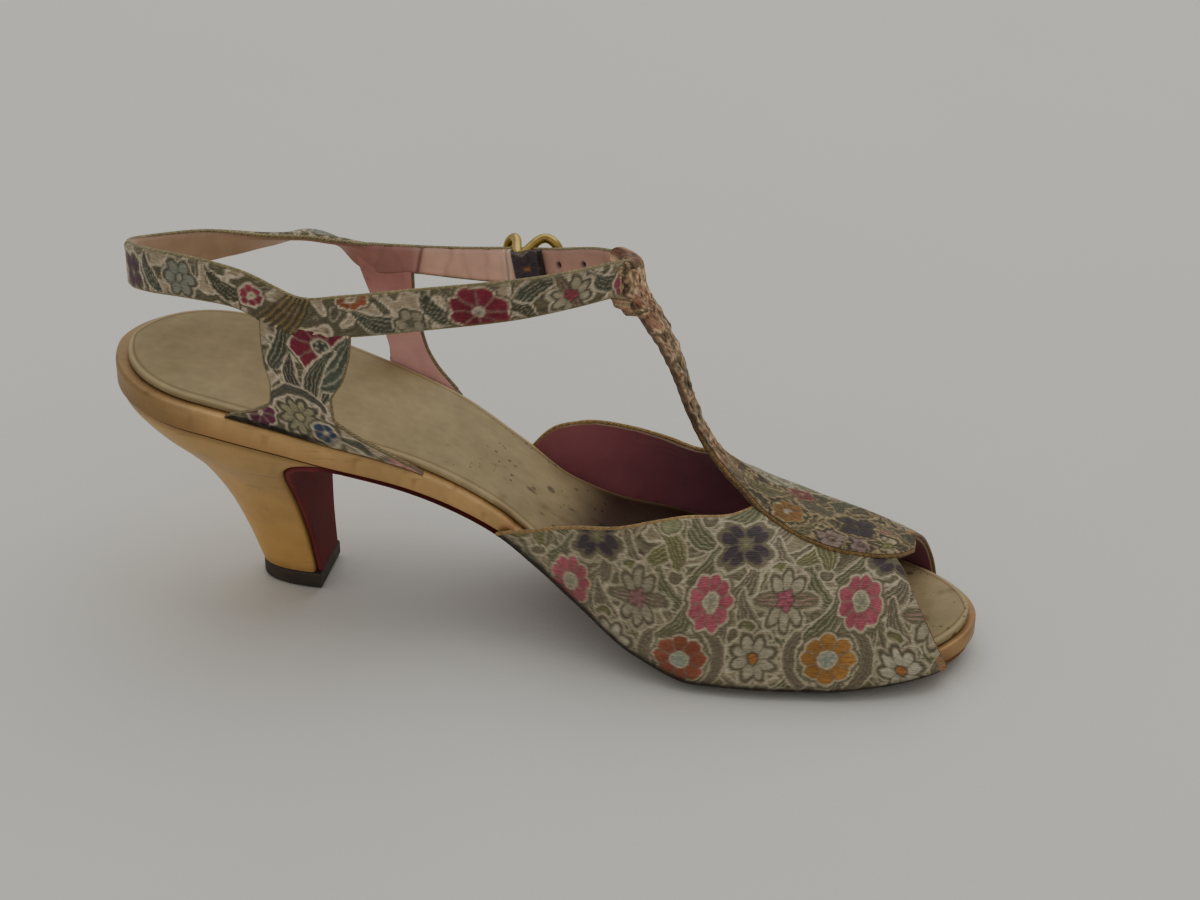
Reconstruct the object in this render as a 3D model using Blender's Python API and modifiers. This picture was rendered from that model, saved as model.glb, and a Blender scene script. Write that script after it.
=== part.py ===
"""A left-foot peep-toe sandal with a T strap, ankle strap and sling back on a curved, covered heel.

The sizes are in millimetres and MM turns them into metres. A station is a distance along the shoe from
the back of the heel seat. X runs to the toe, near (-Y) is the inner side of the foot, far (+Y) the outer
side, and Z is up from the floor. The origin is on the floor in the middle of the shoe's box.
"""

import math
from collections import namedtuple

import bmesh
import bpy
import numpy as np

MM = 0.001
GAP = 0.3  # clearance between neighbouring pieces

# Driving sizes of the sole
LENGTH = 225.0
HEEL_ROUND = 27.0  # length of the rounded end of the heel seat
TOE_ROUND = 35.0  # length of the rounded end of the toe
OUTSOLE_THICK = 2.2
WAIST_SOLE_THICK = 1.8
BREAST_FLAP_THICK = 1.4
BREAST_CORNER = 1.2  # radius of the heel's two edges beside the breast
INSOLE_THICK = 1.6
INSOLE_INSET = 3.3  # the ledge that the quarters stand on
TOE_INSET = 2.1  # the narrower ledge round the toe
TIP_THICK = 4.5
HEEL_TURNS = (0, 0.01, 0.03, 0.06, 0.1, 0.16, 0.26, 0.4, 0.55, 0.7, 0.82, 0.91, 0.965, 0.99, 1)  # breast to back
SOLE_STEPS = 50  # sections along the board and the sock
END = 0.05  # the first section's distance from the rounded end

# Driving sizes of the upper
WALL = 1.6  # cloth and lining of the vamp
VAMP_CLEAR = 0.4  # between the vamp's lining and the board's edge
STRAP_THICK = 2.2
POST_THICK = 1.6
LEAF_THICK = 1.9  # the T strap's leaf, sewn over the vamp
LEAF_RISE = 1.1  # how far the leaf stands proud of the vamp

# Outline and height of the gold midsole board: centre and half are in plan, top is its upper face at the
# near edge, and cant is how much lower the far edge lies, because the arch is on the inner side.
SoleRow = namedtuple("SoleRow", "station centre half top board cant")
SOLE = [
    SoleRow(0, -1.5, 26.6, 65.0, 6.5, 0.0),
    SoleRow(18, -1.4, 27.0, 62.8, 6.5, 0.0),
    SoleRow(36, -1.2, 27.6, 59.7, 6.4, 0.0),
    SoleRow(57, -1.2, 26.4, 54.6, 6.0, 0.0),
    SoleRow(82, 0.2, 23.0, 46.2, 5.2, 0.0),
    SoleRow(103, 1.8, 20.8, 34.0, 4.4, 1.2),
    SoleRow(115, 1.8, 23.2, 26.2, 4.1, 4.2),
    SoleRow(125, 1.4, 26.6, 19.9, 4.0, 3.6),
    SoleRow(142, 0.4, 33.0, 10.6, 4.0, 0.0),
    SoleRow(158, 0.0, 36.3, 6.5, 4.0, 0.0),
    SoleRow(172, -0.3, 35.6, 6.5, 4.0, 0.0),
    SoleRow(186, -1.3, 32.6, 6.5, 4.0, 0.0),
    SoleRow(205, -3.4, 28.2, 7.6, 4.0, 0.0),
    SoleRow(225, -5.5, 26.0, 10.4, 4.0, 0.0),
]

# How far the outsole's edge lies inside the board's edge.
InsetRow = namedtuple("InsetRow", "station inset thick")
OUTSOLE_EDGE = [
    InsetRow(50, 1.8, BREAST_FLAP_THICK),
    InsetRow(62, 1.8, WAIST_SOLE_THICK),
    InsetRow(95, 1.6, WAIST_SOLE_THICK),
    InsetRow(120, 1.6, 2.0),
    InsetRow(150, 1.8, OUTSOLE_THICK),
    InsetRow(205, 1.8, OUTSOLE_THICK),
    InsetRow(225, 1.4, OUTSOLE_THICK),
]

# The heel from its seat (drop 0) to its foot (drop 1).
HeelRow = namedtuple("HeelRow", "drop back breast half")
HEEL = [
    HeelRow(0.0, 0.4, 60.5, 26.2),
    HeelRow(0.04, 1.7, 55.6, 25.9),
    HeelRow(0.09, 4.3, 51.6, 25.2),
    HeelRow(0.17, 9.0, 49.0, 23.6),
    HeelRow(0.26, 14.6, 48.6, 21.0),
    HeelRow(0.39, 21.2, 49.0, 17.4),
    HeelRow(0.58, 27.4, 49.8, 13.4),
    HeelRow(0.81, 32.2, 50.8, 10.2),
    HeelRow(1.0, 35.4, 51.6, 8.8),
]

# The vamp's sections: the ridge over the toes, the outward lean of its side walls, and how soon the far
# side falls away from the ridge.
VampRow = namedtuple("VampRow", "station crest_y crest_z flare far_fall")
VAMP = [
    VampRow(100, 0.0, 95.0, 2.5, 1.2),
    VampRow(122, -1.0, 76.0, 2.5, 1.2),
    VampRow(137, -2.0, 62.0, 1.5, 1.2),
    VampRow(150, -3.0, 50.0, 0.5, 1.2),
    VampRow(167, -5.0, 38.5, 0.0, 1.0),
    VampRow(180, -8.0, 34.3, 0.0, 0.9),
    VampRow(195, -9.0, 31.6, 0.0, 0.9),
    VampRow(206, -8.5, 28.9, 0.0, 0.9),
    VampRow(214, -8.0, 25.5, 0.0, 0.9),
    VampRow(225, -7.0, 20.0, 0.0, 0.9),
]

# The vamp's cut edges: turn goes over the foot from the near sole edge (0) to the far one (180 degrees).
EdgeRow = namedtuple("EdgeRow", "turn throat toe")
VAMP_EDGES = [
    EdgeRow(0, 103.5, 219.2),
    EdgeRow(9, 113, 218.3),
    EdgeRow(19, 122, 216.8),
    EdgeRow(36, 137, 214.0),
    EdgeRow(58, 152, 209.6),
    EdgeRow(76, 164, 206.0),
    EdgeRow(90, 168, 203.0),
    EdgeRow(104, 165.5, 205.0),
    EdgeRow(118, 161, 207.6),
    EdgeRow(132, 155, 209.4),
    EdgeRow(145, 147, 210.7),
    EdgeRow(150, 138.5, 211.2),
    EdgeRow(154, 129, 211.6),
    EdgeRow(160, 118, 212.2),
    EdgeRow(168, 109.5, 212.8),
    EdgeRow(180, 102.5, 213.5),
]

# The T strap from inside its loop to the tip of its leaf. free is 1 where it hangs at its own height and
# 0 where it lies on the vamp; bow is how far its edges turn back round the ankle.
StrapRow = namedtuple("StrapRow", "station height middle half free bow")
T_STRAP = [
    StrapRow(137.0, 100.4, -3.5, 5.8, 1, 4.0),
    StrapRow(138.5, 93.4, -3.2, 6.0, 1, 4.0),
    StrapRow(142.3, 86.0, -2.0, 5.6, 1, 3.4),
    StrapRow(147.2, 75.0, -1.5, 4.6, 1, 2.2),
    StrapRow(151.3, 61.5, -1.5, 3.3, 1, 1.2),
    StrapRow(156.5, 50.6, -1.7, 2.9, 1, 0.4),
    StrapRow(163.4, 43.4, -1.9, 4.6, 1, 0.0),
    StrapRow(171.5, 39.2, -2.3, 8.0, 0, 0.0),
    StrapRow(180.0, 36.0, -2.9, 11.2, 0, 0.0),
    StrapRow(189.0, 34.0, -3.4, 12.4, 0, 0.0),
    StrapRow(198.0, 32.0, -3.7, 10.8, 0, 0.0),
    StrapRow(204.5, 31.0, -3.9, 7.2, 0, 0.0),
    StrapRow(208.0, 29.5, -4.0, 2.6, 0, 0.0),
]

# The T strap's end, folded over the ankle strap and sewn down: back and front faces against height.
LoopRow = namedtuple("LoopRow", "height back front half")
LOOP = [
    LoopRow(87.6, 136.8, 140.4, 4.4),
    LoopRow(91.0, 134.4, 139.2, 5.2),
    LoopRow(95.4, 132.4, 138.0, 5.9),
    LoopRow(99.4, 132.2, 137.6, 5.9),
    LoopRow(101.8, 132.6, 137.0, 5.8),
    LoopRow(102.7, 133.6, 135.8, 5.4),
]
LOOP_BOW = 4.2

# The closed ring of ankle strap and sling: lean tips the top edge in towards the ankle, in degrees.
RingRow = namedtuple("RingRow", "station side height width lean")
RING = [
    RingRow(134.6, -1.5, 96.2, 9.0, 0),
    RingRow(130.6, -9.0, 98.0, 9.0, 0),
    RingRow(121.5, -17.0, 98.2, 9.4, 0),
    RingRow(108.0, -23.0, 97.0, 10.2, 0),
    RingRow(87.0, -26.0, 94.0, 10.6, 0),
    RingRow(69.0, -26.4, 90.6, 10.6, 0),
    RingRow(56.0, -26.2, 89.0, 10.6, 0),
    RingRow(41.0, -24.2, 94.0, 10.2, 0),
    RingRow(27.0, -20.4, 94.2, 11.0, 0),
    RingRow(13.5, -13.5, 91.8, 11.4, 0),
    RingRow(4.6, -1.5, 87.4, 11.6, 0),
    RingRow(8.6, 9.5, 85.2, 11.0, 8),
    RingRow(19.0, 16.4, 85.2, 10.6, 20),
    RingRow(33.0, 20.0, 86.4, 10.2, 52),
    RingRow(44.0, 21.8, 88.0, 10.2, 72),
    RingRow(53.0, 23.2, 86.0, 9.6, 60),
    RingRow(61.0, 23.8, 82.2, 9.0, 12),
    RingRow(72.0, 23.6, 82.8, 7.6, 2),
    RingRow(85.0, 22.5, 83.5, 8.4, 0),
    RingRow(99.0, 19.4, 85.6, 9.4, 0),
    RingRow(112.0, 14.2, 89.0, 9.2, 0),
    RingRow(125.5, 6.4, 94.0, 9.0, 0),
]
RING_STEPS = 4  # sections from one row of the ring to the next

# The quarter posts from the ledge (rise 0) up to the middle of the ring (rise 1): their two edges.
PostRow = namedtuple("PostRow", "rise near_back near_front far_back far_front")
POST = [
    PostRow(0.0, 36.0, 85.0, 65.0, 85.0),
    PostRow(0.05, 39.5, 77.0, 65.6, 81.8),
    PostRow(0.13, 44.5, 68.5, 65.4, 78.0),
    PostRow(0.24, 48.4, 63.6, 64.4, 75.2),
    PostRow(0.38, 48.8, 63.4, 63.0, 73.6),
    PostRow(0.55, 47.4, 66.6, 61.0, 72.4),
    PostRow(0.75, 46.8, 68.6, 58.8, 71.6),
    PostRow(1.0, 46.6, 69.4, 56.6, 71.6),
]

# The buckle on the far side: along the strap, across it, and out from it.
BUCKLE_ROW = 19.36  # its place on the ring, counted in rows
BUCKLE_WIRE = 0.95  # radius of the cast frame
BUCKLE_LONG = 8.2
BUCKLE_HIGH = 6.9
BUCKLE_PINCH = 0.8  # how far the frame closes in at its centre bar
TAIL_ROWS = (17.2, 19.9)  # the strap's free end, counted in rows of the ring
TAIL_THICK = 1.5

BROCADE = (0.23, 0.21, 0.15)
GOLD_KID = (0.52, 0.31, 0.07)
SOCK_KID = (0.50, 0.42, 0.27)
SOLE_LEATHER = (0.09, 0.03, 0.025)
TIP_RUBBER = (0.02, 0.02, 0.018)
BRASS = (0.62, 0.44, 0.14)


# Tables and curves

def monotone(xs, ys, x):
    """A smooth curve through the points that never overshoots them."""
    xs, ys, x = np.asarray(xs, float), np.asarray(ys, float), np.asarray(x, float)
    step, slope = np.diff(xs), np.diff(ys) / np.diff(xs)
    tangent = np.empty_like(ys)
    tangent[0], tangent[-1] = slope[0], slope[-1]
    before, after = slope[:-1], slope[1:]
    same_way = before * after > 0
    weight = 2 * np.where(same_way, before * after, 0)
    tangent[1:-1] = weight / np.where(same_way, before + after, 1)
    k = np.clip(np.searchsorted(xs, x, side="right") - 1, 0, len(step) - 1)
    t = (np.clip(x, xs[0], xs[-1]) - xs[k]) / step[k]
    rise = t * t * (3 - 2 * t)
    bend = t * (1 - t) * step[k] * ((1 - t) * tangent[k] - t * tangent[k + 1])
    return ys[k] + (ys[k + 1] - ys[k]) * rise + bend


def column(table, name):
    return [getattr(row, name) for row in table]


def follow(table, name, value):
    """The value of one column of a table, against the table's first column."""
    return float(monotone(column(table, table[0]._fields[0]), column(table, name), value))


def by_row(table, name, row):
    """The value of one column of a table, against the row's number."""
    return float(monotone(range(len(table)), column(table, name), row))


def round_row(table, name, row):
    """The value of one column of a closed table at a row number: a smooth loop through the rows."""
    k = math.floor(row)
    t = row - k
    a, b, c, d = (getattr(table[(k + i) % len(table)], name) for i in (-1, 0, 1, 2))
    return b + 0.5 * t * (c - a + t * (2 * a - 5 * b + 4 * c - d + t * (3 * (b - c) + d - a)))


# The shoe's bottom, from its table

def half_width(station, inset):
    """Half of the board's width in plan, drawn in by an inset all round."""
    half = follow(SOLE, "half", station) - inset
    heel, toe = HEEL_ROUND, LENGTH - TOE_ROUND
    if station < heel:
        half *= math.sqrt(max(0.0, 1 - ((heel - station) / (heel - inset)) ** 2))
    if station > toe:
        half *= math.sqrt(max(0.0, 1 - ((station - toe) / (TOE_ROUND - inset)) ** 2))
    return half


def edge(station, side, inset):
    """Where the board's edge, drawn in by an inset, lies across the shoe; side is -1 near and 1 far."""
    return follow(SOLE, "centre", station) + side * half_width(station, inset)


def vamp_foot(station, side):
    """Where the vamp's outer face meets the sole: a wall and a clearance outside the board's edge."""
    slope = edge(station + 0.5, side, 0) - edge(station - 0.5, side, 0)
    stretch = math.hypot(1, min(0.8, abs(slope)))
    return edge(station, side, -(VAMP_CLEAR + WALL) * stretch)


def board_top(station):
    return follow(SOLE, "top", station)


def board_bottom(station):
    return board_top(station) - follow(SOLE, "board", station)


def fall(station, y):
    """How far the board has dropped from its near edge at a place across the shoe."""
    across = (y - follow(SOLE, "centre", station)) / follow(SOLE, "half", station)
    return follow(SOLE, "cant", station) * min(1.0, max(0.0, 0.5 + 0.5 * across))


def stations_between(first, last, count):
    """Stations that crowd together towards both rounded ends."""
    turns = np.linspace(0.06, math.pi - 0.06, count)
    ends = math.cos(turns[0])
    return [first + (last - first) * 0.5 * (1 - math.cos(t) / ends) for t in turns]


# Meshes

def finish_mesh(name, mesh, collection):
    mesh.shade_smooth()
    mesh.set_sharp_from_angle(angle=math.radians(38))
    piece = bpy.data.objects.new(name, mesh)
    collection.objects.link(piece)
    return piece


def skin(name, rings, collection, closed=False):
    """A solid through rings of points; each ring is two rails of equal length that face each other."""
    bm = bmesh.new()
    loops = [[bm.verts.new([c * MM for c in p]) for p in ring] for ring in rings]
    count = len(loops[0])
    pairs = list(zip(loops, loops[1:] + loops[:1])) if closed else list(zip(loops, loops[1:]))
    for a, b in pairs:
        for k in range(count):
            m = (k + 1) % count
            bm.faces.new((a[k], a[m], b[m], b[k]))
    if not closed:
        for loop in (loops[0], loops[-1]):
            for k in range(count // 2 - 1):
                bm.faces.new((loop[k], loop[k + 1], loop[count - 2 - k], loop[count - 1 - k]))
    bmesh.ops.recalc_face_normals(bm, faces=bm.faces)
    mesh = bpy.data.meshes.new(name)
    bm.to_mesh(mesh)
    bm.free()
    return finish_mesh(name, mesh, collection)


def sheet(name, place, columns, rows, thick, offset, collection):
    """An open grid, laid out by place(u, v) with u and v from 0 to 1, thickened into a wall."""
    bm = bmesh.new()
    bmesh.ops.create_grid(bm, x_segments=columns, y_segments=rows, size=0.5)
    for v in bm.verts:
        v.co = [c * MM for c in place(v.co.x + 0.5, v.co.y + 0.5)]
    mesh = bpy.data.meshes.new(name)
    bm.to_mesh(mesh)
    bm.free()
    piece = finish_mesh(name, mesh, collection)
    wall = piece.modifiers.new("wall", "SOLIDIFY")
    wall.thickness = thick * MM
    wall.offset = offset
    wall.use_even_offset = True
    return piece


def slab_ring(station, near, far, low, high, corner):
    """One section of a sole layer: a bottom rail and a top rail with rounded corners."""
    corner = min(corner, 0.45 * (far - near), 0.49 * (high - low))
    soft = corner * (1 - math.sqrt(0.5))
    across = [near, near + soft, near + corner]
    across += [near + corner + (far - near - 2 * corner) * t for t in (0.25, 0.5, 0.75)]
    across += [far - corner, far - soft, far]
    drop = [corner, soft, 0, 0, 0, 0, 0, soft, corner]
    bottom = [(station, y, low + d - fall(station, y)) for y, d in zip(across, drop)]
    top = [(station, y, high - d - fall(station, y)) for y, d in zip(across, drop)]
    return [at(p) for p in bottom + top[::-1]]


def at(point):
    """A point from the heel's back to the part's own frame."""
    return (point[0] - LENGTH / 2, point[1], point[2])


# Sole pieces

def make_midsole(collection):
    """The insole board wrapped in gold kid, whose edge shows all round the waist, heel and toe."""
    rings = []
    for x in stations_between(END, LENGTH - END, SOLE_STEPS):
        rings.append(slab_ring(x, edge(x, -1, 0), edge(x, 1, 0), board_bottom(x), board_top(x), 2.0))
    return skin("midsole", rings, collection)


def make_insole(collection):
    """The kid sock that lies on the board, inside the ledge."""
    rings = []
    for x in stations_between(INSOLE_INSET + END, LENGTH - TOE_INSET - END, SOLE_STEPS):
        low = board_top(x) + GAP
        near, far = (edge(x, side, INSOLE_INSET if x < 200 else TOE_INSET) for side in (-1, 1))
        rings.append(slab_ring(x, near, far, low, low + INSOLE_THICK, 0.6))
    return skin("insole", rings, collection)


def heel_ring(row):
    """One D of the heel, from its breast round the back: near rail, then far rail."""
    seat = HEEL[0]
    plan = follow(SOLE, "centre", 30)
    blend = min(1.0, row.drop / 0.35)
    near, far = [], []
    for t in HEEL_TURNS:
        x = row.breast + (row.back - row.breast) * t
        seat_x = seat.breast + (seat.back - seat.breast) * t
        as_seat = half_width(max(seat_x, 0.5), 0.4) / seat.half
        as_heel = (1 - t**2.5) ** 0.4
        wide = row.half * max(0.03, as_seat + (as_heel - as_seat) * blend)
        short = max(0.0, BREAST_CORNER - (row.breast - x))
        wide -= BREAST_CORNER - math.sqrt(BREAST_CORNER**2 - short**2)
        top = board_bottom(seat_x if row.drop == 0 else x) - GAP
        z = top + (TIP_THICK + GAP - top) * row.drop
        near.append(at((x, plan - wide, z)))
        far.append(at((x, plan + wide, z)))
    return near + far[::-1]


def heel_rows():
    """The heel's table with a row added half-way between each two."""
    steps = [k / 2 for k in range(2 * len(HEEL) - 1)]
    return [HeelRow(*(by_row(HEEL, name, k) for name in HeelRow._fields)) for k in steps]


def make_heel(collection):
    """The wooden heel under gold kid, swept in at the back and straight at the breast."""
    return skin("heel", [heel_ring(row) for row in heel_rows()], collection)


def make_heel_tip(collection):
    """The rubber top piece that the heel stands on."""
    foot = HEEL[-1]
    front = foot.breast + GAP + BREAST_FLAP_THICK
    rings = []
    for z, draw_in in ((0.0, 0.5), (0.6, 0.0), (TIP_THICK, 0.1)):
        near, far = [], []
        for k in range(13):
            t = math.sin(0.5 * math.pi * k / 12)
            x = front - draw_in + (foot.back + 2 * draw_in - front) * t
            wide = (foot.half - draw_in + 0.2) * max(0.05, (1 - t**2.5) ** 0.4)
            near.append(at((x, follow(SOLE, "centre", 30) - wide, z)))
            far.append(at((x, follow(SOLE, "centre", 30) + wide, z)))
        rings.append(near + far[::-1])
    return skin("heel_tip", rings, collection)


def breast_line():
    """The outsole's hidden face down the breast: the heel's front line, moved out by the clearance."""
    rows = heel_rows()
    line = []
    for row in rows:
        top = board_bottom(row.breast) - GAP
        line.append((row.breast, top + (TIP_THICK + GAP - top) * row.drop))
    line = np.array(line)
    ahead = np.gradient(line, axis=0)
    ahead /= np.linalg.norm(ahead, axis=1)[:, None]
    line += GAP * np.stack((-ahead[:, 1], ahead[:, 0]), axis=1)
    line[-1, 1] = TIP_THICK + GAP
    return line, rows


def make_outsole(collection):
    """The leather sole: forefoot, waist and the flap that runs down the heel's breast."""
    waist = [LENGTH - 1.7]
    waist += [x for x in stations_between(END, LENGTH - END, SOLE_STEPS)[::-1] if 64 < x < LENGTH - 2.2]
    breast, rows = breast_line()
    path = np.array([(x, board_bottom(x) - GAP) for x in waist] + breast.tolist())
    ahead = np.gradient(path, axis=0)
    ahead /= np.linalg.norm(ahead, axis=1)[:, None]
    rings = []
    for k, ((x, z), (dx, dz)) in enumerate(zip(path, ahead)):
        inset, thick = (follow(OUTSOLE_EDGE, name, x) for name in ("inset", "thick"))
        near, far = edge(x, -1, inset), edge(x, 1, inset)
        if k >= len(waist):
            row = rows[k - len(waist)]
            half = min(row.half - BREAST_CORNER - 0.1, half_width(x, inset))
            near, far = (follow(SOLE, "centre", 30) + side * half for side in (-1, 1))
        sides = np.linspace(near, far, 7)
        under = [at((x - dz * thick, y, z + dx * thick - fall(x, y))) for y in sides]
        rings.append(under + [at((x, y, z - fall(x, y))) for y in sides[::-1]])
    return skin("outsole", rings, collection)


# The upper

def vamp_point(turn, station):
    """A point on the vamp's outer face."""
    side = -1 if turn <= 90 else 1
    angle = math.radians(turn)
    ridge = follow(VAMP, "crest_y", station)
    foot = vamp_foot(station, side)
    low = board_bottom(station) - fall(station, foot)
    sharp = 0.9 if side < 0 else follow(VAMP, "far_fall", station)
    y = ridge + (foot - ridge) * abs(math.cos(angle)) ** sharp
    y += side * follow(VAMP, "flare", station) * abs(math.sin(2 * angle))
    return (station, y, low + (follow(VAMP, "crest_z", station) - low) * math.sin(angle))


def vamp_height(station, y):
    """Height of the vamp's outer face over a point in plan, near the ridge."""
    ridge = follow(VAMP, "crest_y", station)
    foot = vamp_foot(station, -1 if y < ridge else 1)
    sharp = 0.9 if y < ridge else follow(VAMP, "far_fall", station)
    away = min(1.0, abs((y - ridge) / (foot - ridge))) ** (1 / sharp)
    low = board_bottom(station)
    return low + (follow(VAMP, "crest_z", station) - low) * math.sqrt(1 - away**2)


def make_vamp(collection):
    def place(u, v):
        turn = 180 * v
        throat, toe = (follow(VAMP_EDGES, name, turn) for name in ("throat", "toe"))
        return at(vamp_point(turn, throat + (toe - throat) * u))

    return sheet("upper", place, 18, 28, WALL, -1, collection)


def make_t_strap(collection):
    last = len(T_STRAP) - 1

    def place(u, v):
        row = u * last
        x, own, middle, half, free, bow = (by_row(T_STRAP, n, row) for n in StrapRow._fields)
        side = 2 * v - 1
        y = middle + half * side
        laid = vamp_height(x, y) + LEAF_RISE
        return at((x - bow * side**2, y, laid + (own - laid) * free))

    return sheet("t_strap", place, 4 * last, 6, LEAF_THICK, -1, collection)


def make_loop(collection):
    """The folded end of the T strap, closed round the ankle strap."""
    rings = []
    for row in LOOP:
        sides = np.linspace(-1, 1, 7)
        ys = [T_STRAP[0].middle + row.half * t for t in sides]
        back = [at((row.back - LOOP_BOW * t * t, y, row.height)) for t, y in zip(sides, ys)]
        front = [at((row.front - LOOP_BOW * t * t, y, row.height)) for t, y in zip(sides, ys)]
        rings.append(back + front[::-1])
    return skin("loop", rings, collection)


def ring_frame(row):
    """Centre, along, across and out directions of the ring at a row number."""
    def centre(r):
        return np.array([round_row(RING, n, r) for n in ("station", "side", "height")])

    along = centre(row + 0.02) - centre(row - 0.02)
    along /= np.linalg.norm(along)
    out = np.cross((0, 0, 1), along)
    out /= np.linalg.norm(out)
    up = np.cross(along, out)
    lean = math.radians(round_row(RING, "lean", row))
    across = math.cos(lean) * up - math.sin(lean) * out
    return centre(row), along, across, np.cross(across, along)


def ribbon_ring(row, half, inner, outer):
    """A chamfered section of a strap: rails on its inner and outer faces."""
    centre, _, across, out = ring_frame(row)
    soft = 0.35 * (outer - inner)
    places = [(-half, soft), (-half + 0.6, 0), (half - 0.6, 0), (half, soft)]
    inside = [centre + across * a + out * (inner + s) for a, s in places]
    outside = [centre + across * a + out * (outer - s) for a, s in places]
    return [at(p) for p in inside + outside[::-1]]


def make_ring(collection):
    """Ankle strap and sling, as one closed band."""
    rows = [k / RING_STEPS for k in range(len(RING) * RING_STEPS)]
    rings = [ribbon_ring(r, round_row(RING, "width", r) / 2, -STRAP_THICK / 2, STRAP_THICK / 2) for r in rows]
    return skin("ring", rings, collection, closed=True)


def make_tail(collection):
    """The strap's free end, lying on the outside of the far strap."""
    rows = np.linspace(*TAIL_ROWS, 14)
    face = STRAP_THICK / 2
    rings = []
    for k, r in enumerate(rows):
        half = round_row(RING, "width", r) / 2 - 0.5
        rings.append(ribbon_ring(r, half * (0.72 if k == 0 else 1), face - 0.4, face + TAIL_THICK))
    return skin("tail", rings, collection)


def ring_row_at(station, side):
    """The row number where the ring passes a station on one side of the foot."""
    rows = np.linspace(3, 9, 200) if side < 0 else np.linspace(12, 19, 220)
    stations = [round_row(RING, "station", r) for r in rows]
    return float(rows[int(np.argmin(np.abs(np.array(stations) - station)))])


def make_post(side, collection):
    """One quarter post, from the ledge beside the insole up into the ring."""
    name = "near" if side < 0 else "far"

    def place(u, v):
        rise = v
        back, front = (follow(POST, f"{name}_{end}", rise) for end in ("back", "front"))
        x = back + (front - back) * u
        foot = np.array((x, edge(x, side, 0.5 * INSOLE_INSET), board_top(x) + GAP))
        centre = ring_frame(ring_row_at(x, side))[0]
        point = foot + (centre - foot) * rise
        point[0] = x
        point[1] += side * 1.2 * math.sin(math.pi * rise)
        return at(point)

    return sheet(f"post_{name}", place, 8, 14, POST_THICK, 0, collection)


# The buckle

def on_strap(row_shift, along, across, out):
    """A point given along, across and out from the strap at the buckle."""
    centre, ahead, up, away = ring_frame(BUCKLE_ROW + row_shift)
    return at(centre + ahead * along + up * across + away * out)


def make_wire(name, points, radius, cyclic, collection):
    """A round bar along points, as a mesh with welded ends."""
    curve = bpy.data.curves.new(name, "CURVE")
    curve.dimensions = "3D"
    curve.bevel_depth = radius * MM
    curve.bevel_resolution = 2
    curve.use_fill_caps = True
    spline = curve.splines.new("POLY")
    spline.points.add(len(points) - 1)
    spline.use_cyclic_u = cyclic
    for p, co in zip(spline.points, points):
        p.co = (*[c * MM for c in co], 1)
    guide = bpy.data.objects.new(name + "_line", curve)
    collection.objects.link(guide)
    graph = bpy.context.evaluated_depsgraph_get()
    mesh = bpy.data.meshes.new_from_object(guide.evaluated_get(graph))
    bpy.data.objects.remove(guide)
    bm = bmesh.new()
    bm.from_mesh(mesh)
    bmesh.ops.remove_doubles(bm, verts=bm.verts, dist=0.00001)
    bmesh.ops.recalc_face_normals(bm, faces=bm.faces)
    bm.to_mesh(mesh)
    bm.free()
    return finish_mesh(name, mesh, collection)


def make_buckle(collection, helpers):
    """A cast frame like a bow, pinched in at a centre bar that runs behind the strap."""
    bar_out = -STRAP_THICK / 2 - GAP - BUCKLE_WIRE
    lobe_out = STRAP_THICK / 2 + TAIL_THICK + GAP + BUCKLE_WIRE
    frame = []
    for k in range(48):
        angle = 2 * math.pi * (k + 0.5) / 48
        along = BUCKLE_LONG * math.cos(angle)
        near_bar = math.exp(-((along / 3.4) ** 2))
        across = math.copysign(abs(math.sin(angle)) ** 0.6, math.sin(angle))
        across *= BUCKLE_HIGH - BUCKLE_PINCH * near_bar
        frame.append(on_strap(0, along, across, lobe_out + (bar_out - lobe_out) * near_bar))
    reach = BUCKLE_HIGH - BUCKLE_PINCH
    bar = [on_strap(0, 0, t * reach, bar_out) for t in (-1, -0.5, 0, 0.5, 1)]
    buckle = make_wire("buckle", frame, BUCKLE_WIRE, True, collection)
    join(buckle, make_wire("buckle_bar", bar, 0.8 * BUCKLE_WIRE, False, helpers))
    prong_out = STRAP_THICK / 2 + TAIL_THICK + GAP + 0.7
    over = lobe_out + BUCKLE_WIRE + GAP + 0.7
    prong = [(1.6, prong_out), (3.2, prong_out + 0.1), (5.4, prong_out + 0.9), (6.6, over - 0.4), (8.6, over)]
    make_wire("buckle_prong", [on_strap(0, -a, 0, o) for a, o in prong], 0.7, False, collection)
    return buckle


def make_chape(collection):
    """The folded strip that holds the buckle's bar against the inside of the strap."""
    rings = []
    bar_out = -STRAP_THICK / 2 - GAP - BUCKLE_WIRE
    deep = bar_out - 0.8 * BUCKLE_WIRE - GAP
    face = -STRAP_THICK / 2 - GAP - 0.2
    for k in range(9):
        along = -4.0 + k
        hug = math.exp(-((along / 1.9) ** 4))
        outer = face + (deep - face) * hug
        wide = 4.4
        inner = [on_strap(0, along, wide * t, outer - 1.0) for t in (-1, -0.33, 0.33, 1)]
        outside = [on_strap(0, along, wide * t, outer) for t in (-1, -0.33, 0.33, 1)]
        rings.append(inner + outside[::-1])
    return skin("buckle_chape", rings, collection)


# Assembly

def join(piece, other):
    """Joins another shape into a piece."""
    union = piece.modifiers.new("join_" + other.name, "BOOLEAN")
    union.operation = "UNION"
    union.object = other
    other.hide_render = True
    other.display_type = "WIRE"


def colour(piece, name, rgb, roughness, metallic=0.0):
    material = bpy.data.materials.get(name) or bpy.data.materials.new(name)
    material.use_nodes = True
    shader = material.node_tree.nodes["Principled BSDF"]
    shader.inputs["Base Color"].default_value = (*rgb, 1)
    shader.inputs["Roughness"].default_value = roughness
    shader.inputs["Metallic"].default_value = metallic
    piece.data.materials.append(material)


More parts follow.
